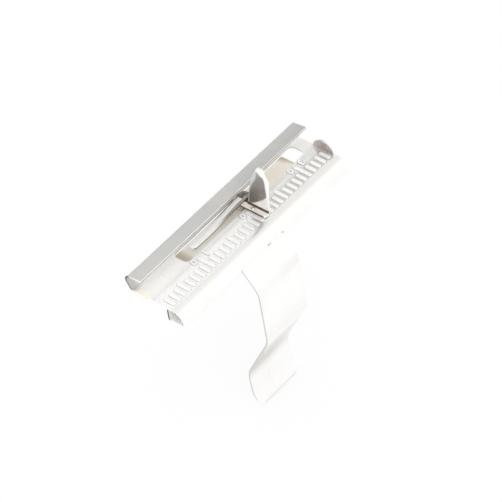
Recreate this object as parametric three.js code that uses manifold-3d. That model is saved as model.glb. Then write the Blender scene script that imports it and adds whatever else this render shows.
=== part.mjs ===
// Hand exerciser: a folded sheet-steel bar with a scale and a sliding tab, and a sprung finger lever.
// Millimetres, +Z up. X runs along the bar, the hooked lip is at +Y and the hinge tube at -Y.
// The origin is the middle of the bar's length and width, on top of its plate.
import * as THREE from "three";
import { mergeVertices } from "three/addons/utils/BufferGeometryUtils.js";
import Module from "manifold-3d";

const wasm = await Module();
wasm.setup();

// ---- Driving dimensions ----
const CLEARANCE = 0.3; // running gap between pieces that slide or turn on each other
const SEAT = 0.1; // gap left between faces that are clamped or riveted together

const SHEET = 0.8; // steel of the bar and the lever
const BAR_LENGTH = 108;
const BAR_WIDTH = 30.3; // back of the lip to the outside of the tube
const LIP_LEAN = 2.7; // how far the lip bulges past its bend
const LIP_HEIGHT = 8.2; // top of the lip's free edge above the plate
const LIP_REACH = 9; // back of the lip to its free edge
const LIP_DROP = 1.0; // the lip's back shoulder lies this much below its free edge
const TUBE_WIDTH = 9;
const TUBE_DEPTH = 7.2; // plate top to tube bottom
const BEND = 0.6; // bend radius on the sheet's middle line
const TUBE_ROUND = TUBE_DEPTH - BEND - SHEET / 2; // outer radius of the tube's rounded shoulder

const SLOT_START = 24; // from the near end
const SLOT_END = BAR_LENGTH - 6;
const SLOT_WIDTH = 8.2;
const SLOT_INSET = 1.5; // lip bend to the slot
const SLOT_CORNER = 2.5;

const TICK_PITCH = 3.18;
const TICK_WIDTH = 1.3;
const TICK_COUNT = Math.floor((BAR_LENGTH - TICK_WIDTH) / TICK_PITCH);
const TICK_RISE = 0.35;
const TICK_LENGTH = 5.8;
const FIVE_TICK_LENGTH = 7.2; // every fifth tick
const TEN_TICK_LENGTH = 9.6; // ticks that carry a number
const FIRST_TICK_VALUE = 2; // reading of the tick nearest the near end

const STOP_LUG_WIDTH = 11; // tongue turned up at the far end
const STOP_LUG_HEIGHT = 5;
const STOP_LUG_INSET = 0.6; // shoulder line to the tongue

const PIN_RADIUS = 1;
const PIN_IN = 4.5; // hinge pin in from the tube's outer face
const PIN_DOWN = TUBE_DEPTH - 3.4; // hinge pin below the plate's top
const BUSH_LENGTH = 5;
const RING_THICKNESS = 0.6;
const RING_RADIUS = 2.1;
const BUSH_RIVET_RADIUS = 0.8;
const BUSH_RIVET_HEAD = 1.5;

const LEVER_START = 37; // from the near end
const LEVER_WIDTH = 26.3;
const LEVER_SLOPE = 53; // degrees below level where it leaves the pin
const LEVER_SWING = 40; // degrees of squeeze
const LEVER_ROLL = 280; // degrees that each knuckle is rolled round the pin
const LEVER_RUN = 16.7; // pin to the first bend, along the slope
// From one bend of the lever to the next, and to its end: out from the pin, down, and the bend's radius.
const LEVER_BENDS = [
  { out: 0.9, down: 28.7, radius: 9 },
  { out: -14.4, down: 27, radius: 12 },
  { out: 1.2, down: 12.9, radius: 16 },
  { out: 3.7, down: 5.8, radius: 8 },
];
const TOE_CORNER = 5.5;

const SPRING_WIRE = 0.9;
const SPRING_CURLS = 7;
const SPRING_PITCH = 1.4;
const SPRING_SPACE = 11.6; // gap between the lever's two knuckles
const SPRING_SPLAY = 0.35; // how far each leg leans away from the curls
const SPRING_NOTCH = 4.8; // how far from the pin that gap reaches
const SPRING_LEG = 6.5; // length of the leg that lies on the lever

const SLIDER_AT = 61.2; // near edge of the slider's foot, from the near end
const SLIDER_SHEET = 0.8;
const FOOT_DEPTH = 3.6; // along the bar, up to the far face of the tab
const RIVET_LOBE = 3; // radius of the foot's end round the slider's rivet
const TAB_HEIGHT = 25.6; // above the plate
const TAB_BASE = 11.6; // across the bar
const TAB_SET_IN = 0.6; // shoulder line to the tab's base
const TAB_BULGE = 2.4; // how far the tab's upright edge leans out past its base
const TAB_CURL = 1.2; // how far the tab's ridge stands towards the thumb
const TAB_FLANGE = 1.9; // past that ridge the sheet turns back, for this width
const GUIDE_THICKNESS = 0.6; // plate under the bar that keeps the slider on
const GUIDE_LENGTH = 9;
const GUIDE_OVERLAP = 0.8; // how far that plate passes the slot on each side
const TAIL_THICKNESS = 0.5;
const TAIL_LENGTH = 30.1; // foot's near edge to the tail's tip
const TAIL_WIDTH = 4;
const TAIL_SLOPE = 16.6; // length over which the tail comes down to the plate
const SLIDER_RIVET_PAST = 1.2; // slider's rivet beyond the tab's far face
const SLIDER_RIVET_RADIUS = 1.2;
const SLIDER_RIVET_HEAD = 2.2;
const SLIDER_RIVET_RISE = 0.8;
const SLIDER_RIVET_BACK = 0.4; // rise of its head under the bar
const INDEX_RIVET_RADIUS = 0.5;
const INDEX_RIVET_HEAD = 0.9;
const INDEX_RIVET_RISE = 0.5;
const INDEX_RIVET_IN = 1.3; // from the foot's near edge
const INDEX_RIVET_ACROSS = 8; // from the shoulder line

const BRASS = 0.5; // thickness of the brass spring strip
const BRASS_END = BAR_LENGTH - 11.5; // from the near end
const BRASS_HOOK_WIDTH = 4.4;
const BRASS_HOOK_LENGTH = 2.6;
const BRASS_SHOULDER = 7; // near end to where the strip widens
const BRASS_RIVET_AT = 12;
const BRASS_RIVET_RADIUS = 1.1;
const BRASS_RIVET_HEAD = 1.9;
const BRASS_RIVET_RISE = 0.6;

// ---- Derived places ----
const X_NEAR = -BAR_LENGTH / 2;
const X_FAR = BAR_LENGTH / 2;
const TUBE_FACE = -BAR_WIDTH / 2; // y of the tube's outer face
const LIP_BACK = BAR_WIDTH / 2;
const LIP_BEND = LIP_BACK - LIP_LEAN;
const TUBE_INNER = TUBE_FACE + TUBE_WIDTH; // y of the tube's wall under the plate
const CREST = TUBE_FACE + TUBE_ROUND; // where the plate turns down
const PLATE_UNDER = -SHEET;
const SLOT_HIGH_Y = LIP_BEND - SLOT_INSET;
const SLOT_LOW_Y = SLOT_HIGH_Y - SLOT_WIDTH;
const SLOT_MID_Y = (SLOT_HIGH_Y + SLOT_LOW_Y) / 2;
const PIN_Y = TUBE_FACE + PIN_IN;
const PIN_Z = -PIN_DOWN;
const KNUCKLE_RADIUS = PIN_RADIUS + CLEARANCE + SHEET / 2; // middle line of the rolled knuckle
const LEVER_X0 = X_NEAR + LEVER_START;
const LEVER_X1 = LEVER_X0 + LEVER_WIDTH;
const LEVER_MID = (LEVER_X0 + LEVER_X1) / 2;
const SLIDER_X0 = X_NEAR + SLIDER_AT;
const SLIDER_X1 = SLIDER_X0 + FOOT_DEPTH;
const SLIDER_RIVET_X = SLIDER_X1 + SLIDER_RIVET_PAST;
const FOOT_Z0 = TICK_RISE + CLEARANCE;
const FOOT_Z1 = FOOT_Z0 + SLIDER_SHEET;
const GUIDE_Z1 = PLATE_UNDER - CLEARANCE;
const GUIDE_Z0 = GUIDE_Z1 - GUIDE_THICKNESS;
const TAIL_Z0 = FOOT_Z1 + SEAT;
const TAIL_Z1 = TAIL_Z0 + TAIL_THICKNESS;
const BRASS_TOP = GUIDE_Z0 - SEAT - SLIDER_RIVET_BACK - CLEARANCE;
const TAIL_TIP_X = SLIDER_X0 - TAIL_LENGTH;
const TAB_LOW_Y = CREST + TAB_SET_IN; // the tab's edge at the shoulder
const TAB_HIGH_Y = TAB_LOW_Y + TAB_BASE;

// ---- Materials ----
const finish = (color, roughness, metalness) =>
  new THREE.MeshStandardMaterial({ color, roughness, metalness });
const NICKEL = finish(0xd9d7d2, 0.22, 1);
const SPRING_STEEL = finish(0xa9a6a0, 0.3, 1);
const PIN_STEEL = finish(0xc4c2bd, 0.25, 1);
const BRASS_METAL = finish(0xd2ab6c, 0.35, 1);

// ---- Solids ----
function solidOf(geometry) {
  const bare = geometry.index ? geometry.toNonIndexed() : geometry.clone();
  for (const name of Object.keys(bare.attributes)) {
    if (name !== "position") bare.deleteAttribute(name);
  }
  const merged = mergeVertices(bare, 1e-4);
  const index = merged.index.array;
  const whole = [];
  for (let i = 0; i < index.length; i += 3) {
    const [a, b, c] = index.slice(i, i + 3);
    if (a !== b && b !== c && c !== a) whole.push(a, b, c);
  }
  return new wasm.Manifold(
    new wasm.Mesh({
      numProp: 3,
      vertProperties: merged.attributes.position.array,
      triVerts: new Uint32Array(whole),
    }),
  );
}

function geometryOf(solid) {
  const mesh = solid.getMesh();
  const position = new Float32Array(mesh.numVert * 3);
  for (let i = 0; i < mesh.numVert; i++) {
    const from = i * mesh.numProp;
    position.set(mesh.vertProperties.subarray(from, from + 3), i * 3);
  }
  return new THREE.BufferGeometry()
    .setAttribute("position", new THREE.BufferAttribute(position, 3))
    .setIndex(new THREE.BufferAttribute(mesh.triVerts, 1));
}

const joined = (solids) => solids.reduce((sum, next) => sum.add(next));
const without = (solid, cutters) => cutters.reduce((rest, cutter) => rest.subtract(cutter), solid);

// A box between two corners.
function block(x0, x1, y0, y1, z0, z1) {
  const box = new THREE.BoxGeometry(x1 - x0, y1 - y0, z1 - z0);
  return solidOf(box.translate((x0 + x1) / 2, (y0 + y1) / 2, (z0 + z1) / 2));
}

const FLAT = { bevelEnabled: false, curveSegments: 6 };

// Outline in Y and Z, carried along X.
function alongX(outline, x0, x1) {
  const run = new THREE.ExtrudeGeometry(outline, { ...FLAT, depth: x1 - x0 });
  const turn = new THREE.Matrix4().makeBasis(
    new THREE.Vector3(0, 1, 0),
    new THREE.Vector3(0, 0, 1),
    new THREE.Vector3(1, 0, 0),
  );
  return solidOf(run.applyMatrix4(turn).translate(x0, 0, 0));
}

// Outline in X and Z, carried along Y.
function alongY(outline, y0, y1) {
  const run = new THREE.ExtrudeGeometry(outline, { ...FLAT, depth: y1 - y0 });
  const turn = new THREE.Matrix4().makeBasis(
    new THREE.Vector3(1, 0, 0),
    new THREE.Vector3(0, 0, 1),
    new THREE.Vector3(0, -1, 0),
  );
  return solidOf(run.applyMatrix4(turn).translate(0, y1, 0));
}

// Outline in X and Y, carried along Z.
function alongZ(outline, z0, z1) {
  const run = new THREE.ExtrudeGeometry(outline, { ...FLAT, depth: z1 - z0 });
  return solidOf(run.translate(0, 0, z0));
}

const ROUND_SIDES = 24;

// A round bar along "x", "y" or "z", between two places on that axis.
function rod(axis, radius, from, to, a, b) {
  const bar = new THREE.CylinderGeometry(radius, radius, to - from, ROUND_SIDES);
  const middle = (from + to) / 2;
  if (axis === "x") return solidOf(bar.rotateZ(-Math.PI / 2).translate(middle, a, b));
  if (axis === "y") return solidOf(bar.translate(a, middle, b));
  return solidOf(bar.rotateX(Math.PI / 2).translate(a, b, middle));
}

// ---- Outlines ----
const point = (a, b) => new THREE.Vector2(a, b);

// A line through corners, each corner turned with its own radius.
function bentLine(corners, radii, degreesPerStep = 12) {
  const line = [corners[0].clone()];
  const add = (next) => {
    if (next.distanceTo(line[line.length - 1]) > 1e-2) line.push(next);
  };
  for (let i = 1; i < corners.length - 1; i++) {
    const into = corners[i].clone().sub(corners[i - 1]).normalize();
    const out = corners[i + 1].clone().sub(corners[i]).normalize();
    const turn = Math.atan2(into.cross(out), into.dot(out));
    const back = radii[i - 1] * Math.tan(Math.abs(turn) / 2);
    const start = corners[i].clone().addScaledVector(into, -back);
    const side = Math.sign(turn) * radii[i - 1];
    const centre = start.clone().add(point(-into.y * side, into.x * side));
    const steps = Math.max(2, Math.ceil(THREE.MathUtils.radToDeg(Math.abs(turn)) / degreesPerStep));
    for (let k = 0; k <= steps; k++) {
      add(start.clone().rotateAround(centre, (turn * k) / steps));
    }
  }
  add(corners[corners.length - 1].clone());
  return line;
}

// A strip of sheet seen edge-on: the middle line, given its thickness.
function sheetEdge(line, thickness) {
  const left = [];
  const right = [];
  line.forEach((here, i) => {
    const before = line[Math.max(i - 1, 0)];
    const after = line[Math.min(i + 1, line.length - 1)];
    const into = here.clone().sub(before);
    const out = after.clone().sub(here);
    if (into.lengthSq() === 0) into.copy(out);
    if (out.lengthSq() === 0) out.copy(into);
    into.normalize();
    out.normalize();
    const along = into.clone().add(out).normalize();
    const stretch = thickness / 2 / Math.max(0.5, along.dot(into));
    const aside = point(-along.y, along.x).multiplyScalar(stretch);
    left.push(here.clone().add(aside));
    right.push(here.clone().sub(aside));
  });
  return new THREE.Shape([...right, ...left.reverse()]);
}

function roundedRectangle(x0, x1, y0, y1, radius) {
  const outline = new THREE.Shape();
  const r = Math.min(radius, (x1 - x0) / 2 - 1e-3, (y1 - y0) / 2 - 1e-3);
  outline.absarc(x1 - r, y0 + r, r, -Math.PI / 2, 0);
  outline.absarc(x1 - r, y1 - r, r, 0, Math.PI / 2);
  outline.absarc(x0 + r, y1 - r, r, Math.PI / 2, Math.PI);
  outline.absarc(x0 + r, y0 + r, r, Math.PI, Math.PI * 1.5);
  return outline;
}

// ---- The bar: one sheet folded into a hooked lip, a plate and a tube ----
function barOutline() {
  const half = SHEET / 2;
  const lipTop = LIP_HEIGHT - half;
  const shoulder = lipTop - LIP_DROP;
  const corners = [
    point(LIP_BACK - LIP_REACH, lipTop),
    point(LIP_BACK - half, shoulder),
    point(LIP_BACK - half, shoulder * 0.55),
    point(LIP_BEND, -half),
    point(TUBE_FACE + half, -half),
    point(TUBE_FACE + half, half - TUBE_DEPTH),
    point(TUBE_INNER - half, half - TUBE_DEPTH),
    point(TUBE_INNER - half, PLATE_UNDER - CLEARANCE),
  ];
  const radii = [2.2, 1.6, BEND, TUBE_ROUND - half, BEND, BEND];
  return sheetEdge(bentLine(corners, radii), SHEET);
}

const tickReading = (index) => index + FIRST_TICK_VALUE;

function tickLength(reading) {
  if (reading % 10 === 0) return TEN_TICK_LENGTH;
  return reading % 5 === 0 ? FIVE_TICK_LENGTH : TICK_LENGTH;
}

// Raised ticks, rounded at their ends, that start at the shoulder line.
function scaleTicks() {
  const ticks = [];
  for (let i = 0; i < TICK_COUNT; i++) {
    const x = X_NEAR + TICK_PITCH * (i + 1);
    const y = CREST + TICK_WIDTH / 2;
    const outline = roundedRectangle(
      x - TICK_WIDTH / 2,
      x + TICK_WIDTH / 2,
      y,
      y + tickLength(tickReading(i)),
      TICK_WIDTH / 2,
    );
    ticks.push(alongZ(outline, -SHEET / 2, TICK_RISE));
  }
  return ticks;
}

// The tongue turned up at the far end, half an ellipse tall.
function stopLug() {
  const y1 = CREST + STOP_LUG_INSET + STOP_LUG_WIDTH;
  const middle = y1 - STOP_LUG_WIDTH / 2;
  const outline = new THREE.Shape();
  outline.absellipse(middle, 0, STOP_LUG_WIDTH / 2, STOP_LUG_HEIGHT, 0, Math.PI, false, 0);
  outline.lineTo(middle - STOP_LUG_WIDTH / 2, -SHEET / 2);
  outline.lineTo(middle + STOP_LUG_WIDTH / 2, -SHEET / 2);
  return alongX(outline, X_FAR - SHEET, X_FAR);
}

// How far out from the pin a line passes, at a depth below the pin: the line runs at an angle below
// level, and lies at a distance outwards from the pin.
const outAt = (angle, distance, depth) => (distance + depth * Math.cos(angle)) / Math.sin(angle);
const depthAt = (angle, distance, out) => (out * Math.sin(angle) - distance) / Math.cos(angle);

// Opening that the lever hangs through. Its edge in the tube's outer wall stops the lever at rest,
// its edge in the tube's bottom stops it when squeezed, and a notch there lets the spring's leg by.
function leverWindow() {
  const rest = THREE.MathUtils.degToRad(LEVER_SLOPE);
  const squeezed = THREE.MathUtils.degToRad(LEVER_SLOPE + LEVER_SWING);
  const face = KNUCKLE_RADIUS + SHEET / 2;
  const back = KNUCKLE_RADIUS - SHEET / 2;
  const top = PIN_Z - depthAt(rest, face, PIN_IN - SHEET) + CLEARANCE;
  const floor = TUBE_DEPTH - PIN_DOWN;
  const inner = PIN_Y - outAt(squeezed, back, floor) + CLEARANCE;
  const notch = inner + SPRING_WIRE + 2 * CLEARANCE;
  const below = -TUBE_DEPTH - 1;
  const half = SPRING_SPACE / 2;
  return block(
    LEVER_X0 - 2 * CLEARANCE,
    LEVER_X1 + 2 * CLEARANCE,
    TUBE_FACE - 1,
    inner,
    below,
    top,
  ).add(block(LEVER_MID - half, LEVER_MID + half, TUBE_FACE - 1, notch, below, top));
}

const bushPlaces = () => {
  const near = LEVER_X0 - 4 * CLEARANCE;
  const far = LEVER_X1 + 4 * CLEARANCE;
  return { near: [near - BUSH_LENGTH, near], far: [far, far + BUSH_LENGTH] };
};

const bushRivetX = ([x0, x1]) => (x0 + x1) / 2;

function bar() {
  const { near, far } = bushPlaces();
  const slot = alongZ(
    roundedRectangle(X_NEAR + SLOT_START, X_NEAR + SLOT_END, SLOT_LOW_Y, SLOT_HIGH_Y, SLOT_CORNER),
    -2 * SHEET,
    SHEET,
  );
  const rivetHoles = [near, far].map((place) =>
    rod(
      "y",
      BUSH_RIVET_RADIUS + SEAT,
      TUBE_INNER - SHEET - 1,
      TUBE_INNER + 1,
      bushRivetX(place),
      PIN_Z,
    ),
  );
  const brassHole = rod(
    "z",
    BRASS_RIVET_RADIUS + SEAT,
    -2 * SHEET,
    SHEET,
    X_NEAR + BRASS_RIVET_AT,
    SLOT_MID_Y,
  );
  const folded = alongX(barOutline(), X_NEAR, X_FAR);
  return without(joined([folded, ...scaleTicks(), stopLug()]), [
    slot,
    leverWindow(),
    brassHole,
    ...rivetHoles,
  ]);
}

// ---- The hinge in the tube ----
// The tube's hollow, less a gap all round: flat below and inside, rounded outside.
function bushOutline() {
  const gap = SHEET + CLEARANCE;
  const radius = TUBE_ROUND - gap;
  const floor = gap - TUBE_DEPTH;
  const foot = Math.PI - Math.asin((floor + TUBE_ROUND) / radius);
  const outline = new THREE.Shape();
  outline.moveTo(TUBE_INNER - gap, -gap);
  outline.lineTo(TUBE_INNER - gap, floor);
  outline.absarc(CREST, -TUBE_ROUND, radius, foot, Math.PI / 2, true);
  return outline;
}

function hingeBush(place) {
  const rivetHole = rod(
    "y",
    BUSH_RIVET_RADIUS + SEAT,
    PIN_Y + PIN_RADIUS,
    TUBE_INNER,
    bushRivetX(place),
    PIN_Z,
  );
  const pinHole = rod("x", PIN_RADIUS + SEAT, place[0] - 1, place[1] + 1, PIN_Y, PIN_Z);
  return without(alongX(bushOutline(), ...place), [pinHole, rivetHole]);
}

function bushRivet(place) {
  const x = bushRivetX(place);
  const seat = TUBE_INNER + SEAT;
  const shank = rod("y", BUSH_RIVET_RADIUS, PIN_Y + PIN_RADIUS + 2 * SEAT, seat + SUNK, x, PIN_Z);
  return shank.add(dome(BUSH_RIVET_HEAD, 0.5).translate([x, seat, PIN_Z]));
}

const SUNK = 0.2; // how far a rivet's shank runs into its head, so that they are one body

// A low dome on +Y, made by turning an arc round the axis.
function dome(radius, rise) {
  const sphere = (radius * radius + rise * rise) / (2 * rise);
  const profile = [new THREE.Vector2(0, 0)];
  const steps = 4;
  for (let k = 0; k <= steps; k++) {
    const r = radius * (1 - k / steps);
    profile.push(new THREE.Vector2(r, Math.sqrt(sphere * sphere - r * r) - (sphere - rise)));
  }
  return solidOf(new THREE.LatheGeometry(profile, ROUND_SIDES));
}

const pinSpan = () => {
  const { near, far } = bushPlaces();
  const past = 2 * CLEARANCE + RING_THICKNESS + 0.8;
  return [near[0] - past, far[1] + past];
};

const hingePin = () => rod("x", PIN_RADIUS, ...pinSpan(), PIN_Y, PIN_Z);

// An open ring that snaps on the pin outside its bush.
function retainingRing(x0) {
  const ring = rod("x", RING_RADIUS, x0, x0 + RING_THICKNESS, PIN_Y, PIN_Z);
  const hole = rod("x", PIN_RADIUS + SEAT, x0 - 1, x0 + RING_THICKNESS + 1, PIN_Y, PIN_Z);
  const mouth = PIN_RADIUS * 0.7;
  const opening = block(
    x0 - 1,
    x0 + RING_THICKNESS + 1,
    PIN_Y - mouth,
    PIN_Y + mouth,
    PIN_Z - 2 * RING_RADIUS,
    PIN_Z,
  );
  return without(ring, [hole, opening]);
}

const ringPlaces = () => {
  const { near, far } = bushPlaces();
  return { near: near[0] - CLEARANCE - RING_THICKNESS, far: far[1] + CLEARANCE };
};

// ---- The finger lever ----
// Level-out direction is -Y, so "out" below is how far a point lies outwards from the pin.
const fromPin = (out, down) => point(PIN_Y - out, PIN_Z - down);

function leverLine() {
  const slope = THREE.MathUtils.degToRad(LEVER_SLOPE);
  const away = point(Math.cos(slope), Math.sin(slope));
  const heel = point(KNUCKLE_RADIUS * away.y, -KNUCKLE_RADIUS * away.x);
  const roll = [];
  const rollSteps = 22;
  const heelAngle = Math.PI / 2 - slope;
  const rollAngle = THREE.MathUtils.degToRad(LEVER_ROLL);
  for (let k = 0; k < rollSteps; k++) {
    const angle = heelAngle + rollAngle * (1 - k / rollSteps);
    roll.push(point(KNUCKLE_RADIUS * Math.cos(angle), -KNUCKLE_RADIUS * Math.sin(angle)));
  }
  const corners = [heel, heel.clone().addScaledVector(away, LEVER_RUN)];
  for (const { out, down } of LEVER_BENDS) {
    corners.push(corners[corners.length - 1].clone().add(point(out, down)));
  }
  const radii = LEVER_BENDS.map((bend) => bend.radius);
  return [...roll, ...bentLine(corners, radii, 8)].map((p) => fromPin(p.x, p.y));
}

// Trims the toe's two corners round, seen square to the toe.
function toeTrim(line) {
  const end = line[line.length - 1];
  const before = line[line.length - 2];
  const lean = Math.atan2(end.x - before.x, before.y - end.y);
  const drop = TOE_CORNER * 3;
  const outline = new THREE.Shape();
  const r = TOE_CORNER;
  outline.moveTo(LEVER_X0 - 1, 1);
  outline.lineTo(LEVER_X0 - 1, -drop);
  outline.lineTo(LEVER_X1 + 1, -drop);
  outline.lineTo(LEVER_X1 + 1, 1);
  outline.lineTo(LEVER_X1, r);
  outline.absarc(LEVER_X1 - r, r, r, 0, -Math.PI / 2, true);
  outline.absarc(LEVER_X0 + r, r, r, -Math.PI / 2, -Math.PI, true);
  const run = new THREE.ExtrudeGeometry(outline, { ...FLAT, depth: 12 }).translate(0, 0, -6);
  run.rotateX(Math.PI / 2 + lean).translate(0, end.x, end.y);
  return solidOf(run);
}

function fingerLever() {
  const line = leverLine();
  const strip = alongX(sheetEdge(line, SHEET), LEVER_X0, LEVER_X1);
  const half = SPRING_SPACE / 2;
  const springGap = rod("x", SPRING_NOTCH, LEVER_MID - half, LEVER_MID + half, PIN_Y, PIN_Z);
  return without(strip, [springGap, toeTrim(line)]);
}

// ---- The torsion spring on the pin ----
function springPath() {
  const radius = PIN_RADIUS + CLEARANCE + SPRING_WIRE / 2;
  const slope = THREE.MathUtils.degToRad(LEVER_SLOPE);
  const turns = SPRING_CURLS + LEVER_SLOPE / 360;
  const length = turns * SPRING_PITCH;
  const x0 = LEVER_MID - length / 2;
  const stepsPerCurl = 8;
  const points = [];
  // The fixed leg comes down from under the plate and meets the coil at its top.
  const under = PLATE_UNDER - CLEARANCE - SPRING_WIRE / 2;
  const top = PIN_Z + radius;
  const legs = [
    [3.2, 1],
    [2.2, 0.85],
    [1, 0.25],
  ];
  for (const [inwards, share] of legs) {
    const z = top + (under - top) * share;
    points.push(new THREE.Vector3(x0 - SPRING_SPLAY * share, PIN_Y + inwards, z));
  }
  const steps = Math.round(turns * stepsPerCurl);
  for (let k = 0; k <= steps; k++) {
    const angle = Math.PI / 2 + (turns * Math.PI * 2 * k) / steps;
    points.push(
      new THREE.Vector3(
        x0 + (length * k) / steps,
        PIN_Y + radius * Math.cos(angle),
        PIN_Z + radius * Math.sin(angle),
      ),
    );
  }
  // The moving leg crosses to the back of the lever and lies along it.
  const away = point(Math.cos(slope), Math.sin(slope));
  const inward = point(-away.y, away.x);
  const heel = inward.clone().multiplyScalar(-radius);
  const behind = SHEET / 2 + SPRING_WIRE / 2 + CLEARANCE + radius - KNUCKLE_RADIUS;
  const reach = [
    [1.2, 0.15],
    [2.6, 0.65],
    [4, 1],
    [4 + SPRING_LEG, 1],
  ];
  for (const [run, share] of reach) {
    const at = heel.clone().addScaledVector(away, run).addScaledVector(inward, behind * share);
    const x = x0 + length + SPRING_SPLAY * share;
    points.push(new THREE.Vector3(x, PIN_Y - at.x, PIN_Z - at.y));
  }
  return points;
}

// A tube of wire through points, closed at both ends.
function wireTube(points, radius, sides) {
  const rings = [];
  let up = new THREE.Vector3(1, 0, 0);
  points.forEach((here, i) => {
    const along = points[Math.min(i + 1, points.length - 1)]
      .clone()
      .sub(points[Math.max(i - 1, 0)])
      .normalize();
    up = up.clone().addScaledVector(along, -up.dot(along)).normalize();
    const side = new THREE.Vector3().crossVectors(along, up);
    const ring = [];
    for (let k = 0; k < sides; k++) {
      const angle = (Math.PI * 2 * k) / sides;
      ring.push(
        here
          .clone()
          .addScaledVector(up, radius * Math.cos(angle))
          .addScaledVector(side, radius * Math.sin(angle)),
      );
    }
    rings.push(ring);
  });
  const position = [];
  const face = (a, b, c) => position.push(...a.toArray(), ...b.toArray(), ...c.toArray());
  for (let i = 0; i + 1 < rings.length; i++) {
    for (let k = 0; k < sides; k++) {
      const n = (k + 1) % sides;
      face(rings[i][k], rings[i][n], rings[i + 1][n]);
      face(rings[i][k], rings[i + 1][n], rings[i + 1][k]);
    }
  }
  const last = rings[rings.length - 1];
  for (let k = 1; k + 1 < sides; k++) {
    face(rings[0][0], rings[0][k + 1], rings[0][k]);
    face(last[0], last[k], last[k + 1]);
  }
  return solidOf(
    new THREE.BufferGeometry().setAttribute(
      "position",
      new THREE.Float32BufferAttribute(position, 3),
    ),
  );
}

// Least gap between one curl and the next, over points half a curl or more apart.
function leastGap(points, stepsPerCurl) {
  let least = Infinity;
  for (let i = 0; i < points.length; i++) {
    for (let j = i + stepsPerCurl / 2; j < points.length; j++) {
      least = Math.min(least, points[i].distanceTo(points[j]) - SPRING_WIRE);
    }
  }
  return least;
}

function torsionSpring() {
  const points = springPath();
  console.log(`torsion spring: least gap to itself ${leastGap(points, 8).toFixed(2)} mm`);
  return wireTube(points, SPRING_WIRE / 2, 5);
}

// ---- The slider on the scale ----
function tabFrontOutline() {
  const rise = TAB_HEIGHT;
  const bulge = TAB_LOW_Y - TAB_BULGE;
  const corners = [
    point(TAB_LOW_Y, FOOT_Z0),
    point(bulge + 1.2, rise * 0.35),
    point(bulge, rise * 0.8),
    point(bulge + 3, rise + 1.2),
    point(bulge + 6.4, rise - 1),
    point(TAB_HIGH_Y - 3.6, rise * 0.63),
    point(TAB_HIGH_Y, FOOT_Z0),
  ];
  return new THREE.Shape(bentLine(corners, [20, 4, 2.2, 3, 12], 15));
}

// The upright tab seen from above: a sheet hollowed for the thumb, with a ridge and a flange that
// turns back along its shoulder edge.
function tabPlan() {
  const x = SLIDER_X1 - SLIDER_SHEET / 2;
  const low = TAB_LOW_Y - TAB_BULGE;
  const ridge = low + TAB_FLANGE;
  const corners = [
    point(x, low - 0.3),
    point(x - TAB_CURL, ridge),
    point(x, ridge + 3),
    point(x, TAB_HIGH_Y - 3),
    point(x - TAB_CURL / 2, TAB_HIGH_Y + 0.5),
  ];
  return sheetEdge(bentLine(corners, [0.9, 4, 9], 10), SLIDER_SHEET);
}

const indexRivetPlace = () => [SLIDER_X0 + INDEX_RIVET_IN, CREST + INDEX_RIVET_ACROSS];

function sliderTab() {
  const wall = alongZ(tabPlan(), FOOT_Z0, TAB_HEIGHT + 1);
  const front = alongX(tabFrontOutline(), SLIDER_X0, SLIDER_X1 + 1);
  const foot = alongZ(
    roundedRectangle(SLIDER_X0, SLIDER_X1, TAB_LOW_Y, SLOT_MID_Y, 1),
    FOOT_Z0,
    FOOT_Z1,
  );
  const lobe = alongZ(
    roundedRectangle(
      SLIDER_RIVET_X - RIVET_LOBE,
      SLIDER_RIVET_X + RIVET_LOBE,
      SLOT_MID_Y - RIVET_LOBE,
      SLOT_MID_Y + RIVET_LOBE,
      RIVET_LOBE * 0.8,
    ),
    FOOT_Z0,
    FOOT_Z1,
  );
  const [indexX, indexY] = indexRivetPlace();
  return without(joined([wall.intersect(front), foot, lobe]), [
    rod("z", SLIDER_RIVET_RADIUS + SEAT, FOOT_Z0 - 1, FOOT_Z1 + 1, SLIDER_RIVET_X, SLOT_MID_Y),
    rod("z", INDEX_RIVET_RADIUS + SEAT, FOOT_Z0 - 1, FOOT_Z1 + 1, indexX, indexY),
  ]);
}

// The block that runs in the slot, under the foot.
function slotBlock() {
  const outline = roundedRectangle(
    SLIDER_RIVET_X - GUIDE_LENGTH / 2 + 1,
    SLIDER_RIVET_X + GUIDE_LENGTH / 2 - 1,
    SLOT_LOW_Y + CLEARANCE,
    SLOT_HIGH_Y - CLEARANCE,
    1,
  );
  const hole = rod("z", SLIDER_RIVET_RADIUS + SEAT, -5, 5, SLIDER_RIVET_X, SLOT_MID_Y);
  return alongZ(outline, GUIDE_Z1 + SEAT, FOOT_Z0 - SEAT).subtract(hole);
}

// The wider plate under the bar that holds the slider down.
function guidePlate() {
  const outline = roundedRectangle(
    SLIDER_RIVET_X - GUIDE_LENGTH / 2,
    SLIDER_RIVET_X + GUIDE_LENGTH / 2,
    SLOT_LOW_Y - GUIDE_OVERLAP,
    SLOT_HIGH_Y + GUIDE_OVERLAP,
    1,
  );
  const hole = rod("z", SLIDER_RIVET_RADIUS + SEAT, -5, 5, SLIDER_RIVET_X, SLOT_MID_Y);
  return alongZ(outline, GUIDE_Z0, GUIDE_Z1).subtract(hole);
}

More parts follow.
